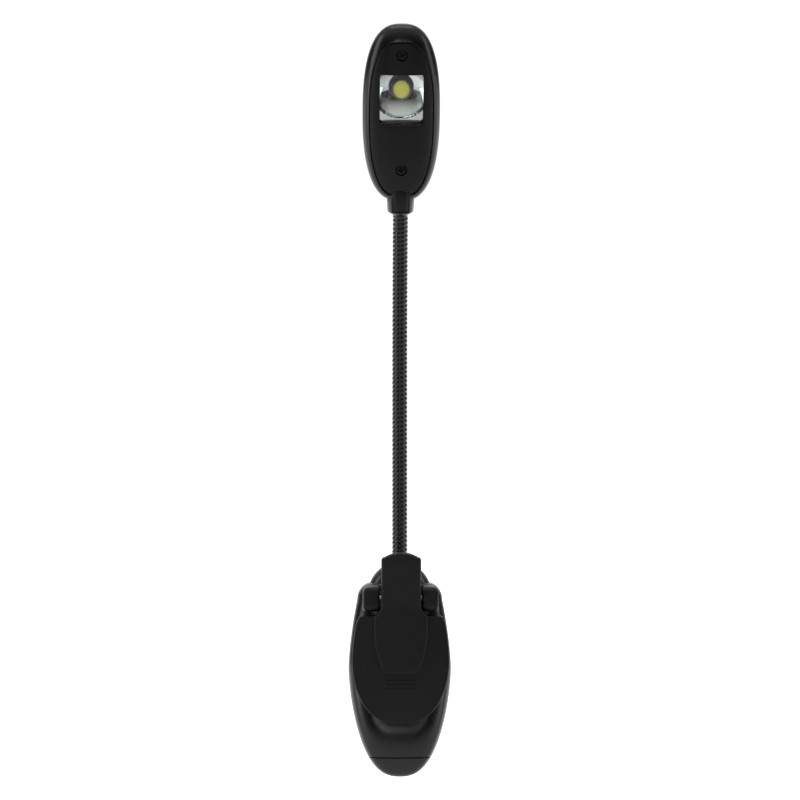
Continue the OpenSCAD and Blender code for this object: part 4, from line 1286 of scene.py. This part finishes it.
class LAMP_OT_optics(bpy.types.Operator):
    """Makes the clear window, the reflector and the light chip"""

    bl_idname = "lamp.optics"
    bl_label = "Window and reflector"

    def execute(self, context):
        s = context.scene.lamp_head
        w, h = (size * 1000 / 2 + LENS_LAP for size in (s.window_width, s.window_height))
        across = [-w + 2 * w * i / 14 for i in range(15)]
        up = [WINDOW_MID - h + 2 * h * i / 14 for i in range(15)]
        faces = [[lay([(x, v) for x in across], skin(s, -1, taken)) for v in up]
                 for taken in (LENS_FRONT, LENS_BACK)]
        rims = [face[0] + [row[-1] for row in face[1:-1]] + face[-1][::-1]
                + [row[0] for row in face[-2:0:-1]] for face in faces]
        parts = [band(rims)] + [band(face, wrap=False) for face in faces]
        lens = new_object("window_pane", parts, HEAD)
        finish_piece(lens, "clear", "head", ["window_lens"])
        self.reflector()
        self.chip()
        return {"FINISHED"}

    def reflector(self):
        """A bowl that deepens towards the chip, its throat open round it."""
        low_y, depth, throat, rim = 1.5, 3.4, 3.45, 9.6
        middle = (0, LIGHT_H)

        def dish(x, v):
            share = (x * x + (v - LIGHT_H) ** 2 - throat ** 2) / (rim ** 2 - throat ** 2)
            return low_y - depth * min(1, max(0, share))

        outer = evenly(rectangle(16, 18.4, 0.6, centre=(0, WINDOW_MID)), middle)
        hole = circle(middle, throat)
        rings = [lay(hole, None, low_y + 0.05)]
        rings += [lay(mixed(hole, outer, t), dish) for t in frange(0, 1, 0.05)]
        rings += [lay(outer, None, low_y), lay(hole, None, low_y)]
        bowl = new_object("reflector_bowl", [band(rings, loop=True)], HEAD)
        finish_piece(bowl, "mirror", "head", ["reflector"], 30)

    def chip(self):
        """The light chip: a ceramic body under a low dome, both a little taller than wide."""
        tall = Matrix.Diagonal((1, 1, 1.12, 1))
        to_front = Matrix.Translation((0, 0, LIGHT_H)) @ tall @ FACE_FRONT
        body = [(3.1, -1.6), (3.15, 0.25), (3.05, 0.4), (2.85, 0.42), (2.75, 0.3)]
        dome = [(2.7, 0.1)]
        dome += [(2.7 * cos(radians(t)), 0.3 + 1.1 * sin(radians(t))) for t in frange(0, 88, 8)]
        for name, profile, look, slot, stands_for in (
            ("light_chip_body", body, "ceramic", "led_case", "led_package"),
            ("light_chip_dome", dome, "phosphor", "led_phosphor", "led_dome"),
        ):
            piece = new_object(name, [turned(lathe(profile), to_front)], HEAD)
            finish_piece(piece, look, "head", [stands_for])


class LAMP_OT_button(bpy.types.Operator):
    """Makes the dished push button on the back of the head"""

    bl_idname = "lamp.button"
    bl_label = "Push button"

    def execute(self, context):
        dish_r, dish_mid = 7.2, 15.4
        profile = [(1.5, 3.9), (1.5, 5.1), (4.0, 5.1), (4.1, 5.2), (4.1, 5.5), (4.0, 5.6),
                   (3.4, 5.6), (3.4, 8.2), *arc(3.15, 8.25, 0.25, frange(15, 90, 15))]
        profile += [(r, dish_mid - sqrt(dish_r ** 2 - r * r) - 0.02)
                    for r in (2.9, 2.5, 2.0, 1.5, 1.0, 0.5, 0.1)]
        place = HEAD @ Matrix.Translation((0, 0, BUTTON_H))
        button = new_object("push_button", [turned(lathe(profile), ALONG_Y)], place)
        finish_piece(button, "matt", "button", ["switch_button"])
        return {"FINISHED"}


class LAMP_OT_screws(bpy.types.Operator):
    """Sets the cross-head screws in the base's back and the face plate"""

    bl_idname = "lamp.screws"
    bl_label = "Screws"

    def execute(self, context):
        self.screws("base_cross_screws", "base", "base_screws", BASE, ALONG_Y, 9.9,
                    [(x, BACK_Y - 0.15, h) for x, h in BASE_SCREWS])
        self.screws("face_cross_screws", "head", "cover_screws", HEAD, FACE_FRONT, 4.554,
                    [(0, CUP_FLOOR - 1.02, h) for h in HEAD_SCREWS])
        return {"FINISHED"}

    def screws(self, name, body, stands_for, place, turn, shank, spots):
        """A shank and a low head with a cross recess, copied to its spots."""
        profile = [(0.8, -shank), (0.8, -1.0), (1.9, -1.0), (1.9, -0.25), (1.8, -0.08), (1.6, 0.0)]
        facing = ROW @ place.to_3x3().normalized().to_4x4() @ turn
        screw = new_object("screw", [lathe(profile, 48)], facing)
        cut(screw, [self.blade(angle) for angle in (0.3, 0.3 + pi / 2)], facing)
        made = at_points(name, screw, [place @ Vector(p) * 1000 for p in spots], "screw")
        finish_piece(made, "screw", body, [stands_for], 28)

    def blade(self, angle):
        """One tapered arm of a cross recess."""
        levels = ((-0.75, 0.5, 0.14), (0.02, 1.2, 0.27), (0.3, 1.3, 0.28))
        rows = [[(-a, -b, z), (a, -b, z), (a, b, z), (-a, b, z)] for z, a, b in levels]
        return turned(band(rows, caps=(0, -1)), Matrix.Rotation(angle, 4, "Z"))


class LAMP_OT_inner(bpy.types.Operator):
    """Gives the CAD pieces that stay their own finishes"""

    bl_idname = "lamp.inner"
    bl_label = "Inner pieces"

    def execute(self, context):
        looks = {"cell": "sleeve", "contact": "nickel", "driver_board": "green_board",
                 "inductor": "ferrite", "neck_ferrule": "ferrule", "head_ferrule": "ferrule",
                 "base_leads": "lead", "head_leads": "lead", "neck_leads": "lead",
                 "hinge_pin": "spring", "led_board": "white_board", "resistor": "resistor",
                 "switch_body": "switch"}
        for name, obj in frame["nodes"].items():
            if obj.hide_render:
                continue
            found = [look for start, look in looks.items() if name.startswith(start)]
            if not found:
                raise RuntimeError(f"{name} has no finish")
            for place in obj.material_slots:
                place.material = MATERIALS[found[0]]
        return {"FINISHED"}


# ---- the stage, in metres ----

FLOOR_DROP, FLOOR_HALF, FLOOR_NEAR, FLOOR_FAR = 0.25, 6, -0.85, 6.15
# The soft boxes: where they stand from the lamp's middle, their sizes, and which power they
# take, times a share.
BOXES = {
    "left_box": ((-0.78, -0.3, 0.12), (0.34, 0.9), "left", 1),
    "right_box": ((0.8, -0.26, 0.1), (0.3, 0.9), "right", 1),
    "top_box": ((0.0, -0.12, 0.9), (0.7, 0.5), "top", 1),
    "far_left_box": ((-0.19, -2.1, -0.06), (0.36, 0.6), "strips", 1),
    "far_right_box": ((0.37, -2.1, -0.06), (0.26, 0.6), "strips", 0.36),
}
AIM_Y, UNDER_NOSE = 0.0045, 7.8  # the camera's aim, and what it sees under the nose, in mm


def floor_glow(tree, place):
    """Bright behind the lamp, so that the floor fades into the backdrop, and plain before it."""
    behind = node(tree, "ShaderNodeSeparateXYZ", {0: place}).outputs[1]
    edge = {"Value": behind, "From Min": 0.05, "From Max": 0.4}
    return node(tree, "ShaderNodeMapRange", edge).outputs[0]


class LAMP_OT_stage(bpy.types.Operator):
    """Sets the pale floor, the soft boxes, the surroundings and the camera"""

    bl_idname = "lamp.stage"
    bl_label = "Stage"

    def execute(self, context):
        scene, s = context.scene, context.scene.lamp_stage
        scene.view_settings.view_transform = "Standard"
        rows = [[(x, y, 0) for y in frange(FLOOR_NEAR, FLOOR_FAR, 0.5)]
                for x in frange(-FLOOR_HALF, FLOOR_HALF, 0.5)]
        place = Matrix.Translation((0, 0, CAD_BOX[0][2] - FLOOR_DROP))
        floor = new_object("floor", [band(rows, wrap=False)], place)
        floor.data.materials.append(dressed(
            "pale_floor", s.floor, 0.9,
            dict(size_mm=60, tints=(s.floor, [c * 0.98 for c in s.floor])),
            dict(source=floor_glow, glow=True), IOR=1.3, Emission_Color=(1, 1, 1, 1)))
        scene.world = self.room()

        middle = Vector((0, MID_Y / 2000, (CAD_BOX[0][2] + CAD_BOX[1][2]) / 2))
        for name, (spot, size, setting, share) in BOXES.items():
            data = bpy.data.lights.new(name, "AREA")
            data.shape, data.size, data.size_y = "RECTANGLE", *size
            data.energy = getattr(s, setting) * share
            lamp = linked(name, data)
            lamp.location = middle + Vector(spot)
            lamp.visible_camera = False
            lamp.rotation_euler = (middle - lamp.location).to_track_quat("-Z", "Y").to_euler()

        data = bpy.data.cameras.new("camera")
        data.lens, data.sensor_width = s.lens, 36
        data.clip_start, data.clip_end = 0.05, 30
        camera = linked("camera", data)
        away = s.picture / 2 / tan(atan(data.sensor_width / 2 / s.lens))
        aim = Vector((0, AIM_Y, s.picture / 2 + (NOSE_Z - UNDER_NOSE) / 1000))
        level = cos(s.elevation)
        back = Vector((sin(s.azimuth) * level, -cos(s.azimuth) * level, sin(s.elevation)))
        camera.location = aim + back * away
        camera.rotation_euler = back.to_track_quat("Z", "Y").to_euler()
        scene.camera = camera
        return {"FINISHED"}

    def room(self):
        """Surroundings that are dim, brighter straight behind the lamp and above it, and pale
        where the camera looks past it."""
        world = bpy.data.worlds.new("soft_room")
        world.use_nodes = True
        tree = world.node_tree
        tree.nodes.clear()
        way = node(tree, "ShaderNodeTexCoord").outputs["Generated"]
        axes = node(tree, "ShaderNodeSeparateXYZ", {0: way}).outputs
        behind = {"From Min": 0.45, "From Max": 1.0, "To Min": 0.02, "To Max": 0.9}
        above = {"From Min": 0.12, "From Max": 0.6, "To Max": 0.55}
        glows = [node(tree, "ShaderNodeMapRange", {"Value": axis, **span}).outputs[0]
                 for axis, span in ((axes[1], behind), (axes[2], above))]
        whole = node(tree, "ShaderNodeMath", dict(enumerate(glows)), operation="ADD").outputs[0]
        room, sky = (node(tree, "ShaderNodeBackground", {0: (1, 1, 1, 1), 1: strength}).outputs[0]
                     for strength in (whole, 1.05))
        seen = node(tree, "ShaderNodeLightPath").outputs["Is Camera Ray"]
        both = node(tree, "ShaderNodeMixShader", {0: seen, 1: room, 2: sky}).outputs[0]
        node(tree, "ShaderNodeOutputWorld", {0: both})
        return world


OPERATORS = (LAMP_OT_base, LAMP_OT_door, LAMP_OT_clip, LAMP_OT_pads, LAMP_OT_spring, LAMP_OT_neck,
             LAMP_OT_head, LAMP_OT_optics, LAMP_OT_button, LAMP_OT_screws, LAMP_OT_inner,
             LAMP_OT_stage)


class LAMP_PT_panel(bpy.types.Panel):
    """Lists the lamp's pieces in the sidebar"""

    bl_idname = "LAMP_PT_panel"
    bl_label = "Clip-on reading lamp"
    bl_space_type = "VIEW_3D"
    bl_region_type = "UI"
    bl_category = "Lamp"

    def draw(self, context):
        column = self.layout.column()
        for operator in OPERATORS:
            column.operator(operator.bl_idname)


GROUPS = {"lamp_base": LampBaseSizes, "lamp_clip": LampClipSizes, "lamp_neck": LampNeckSizes,
          "lamp_head": LampHeadSizes, "lamp_colours": LampColours, "lamp_stage": LampStageSettings}
CLASSES = (*GROUPS.values(), *OPERATORS, LAMP_PT_panel)


def register():
    """Registers the classes and hangs the settings on the scene."""
    for item in CLASSES:
        bpy.utils.register_class(item)
    for name, item in GROUPS.items():
        setattr(bpy.types.Scene, name, PointerProperty(type=item))


def unregister():
    """Takes the settings and classes away again."""
    for name in GROUPS:
        delattr(bpy.types.Scene, name)
    for item in reversed(CLASSES):
        bpy.utils.unregister_class(item)


def main():
    """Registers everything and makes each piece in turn."""
    register()
    make_materials(bpy.context.scene.lamp_colours)
    for operator in OPERATORS:
        group_name, call = operator.bl_idname.split(".")
        getattr(getattr(bpy.ops, group_name), call)()


if __name__ == "__main__":
    main()
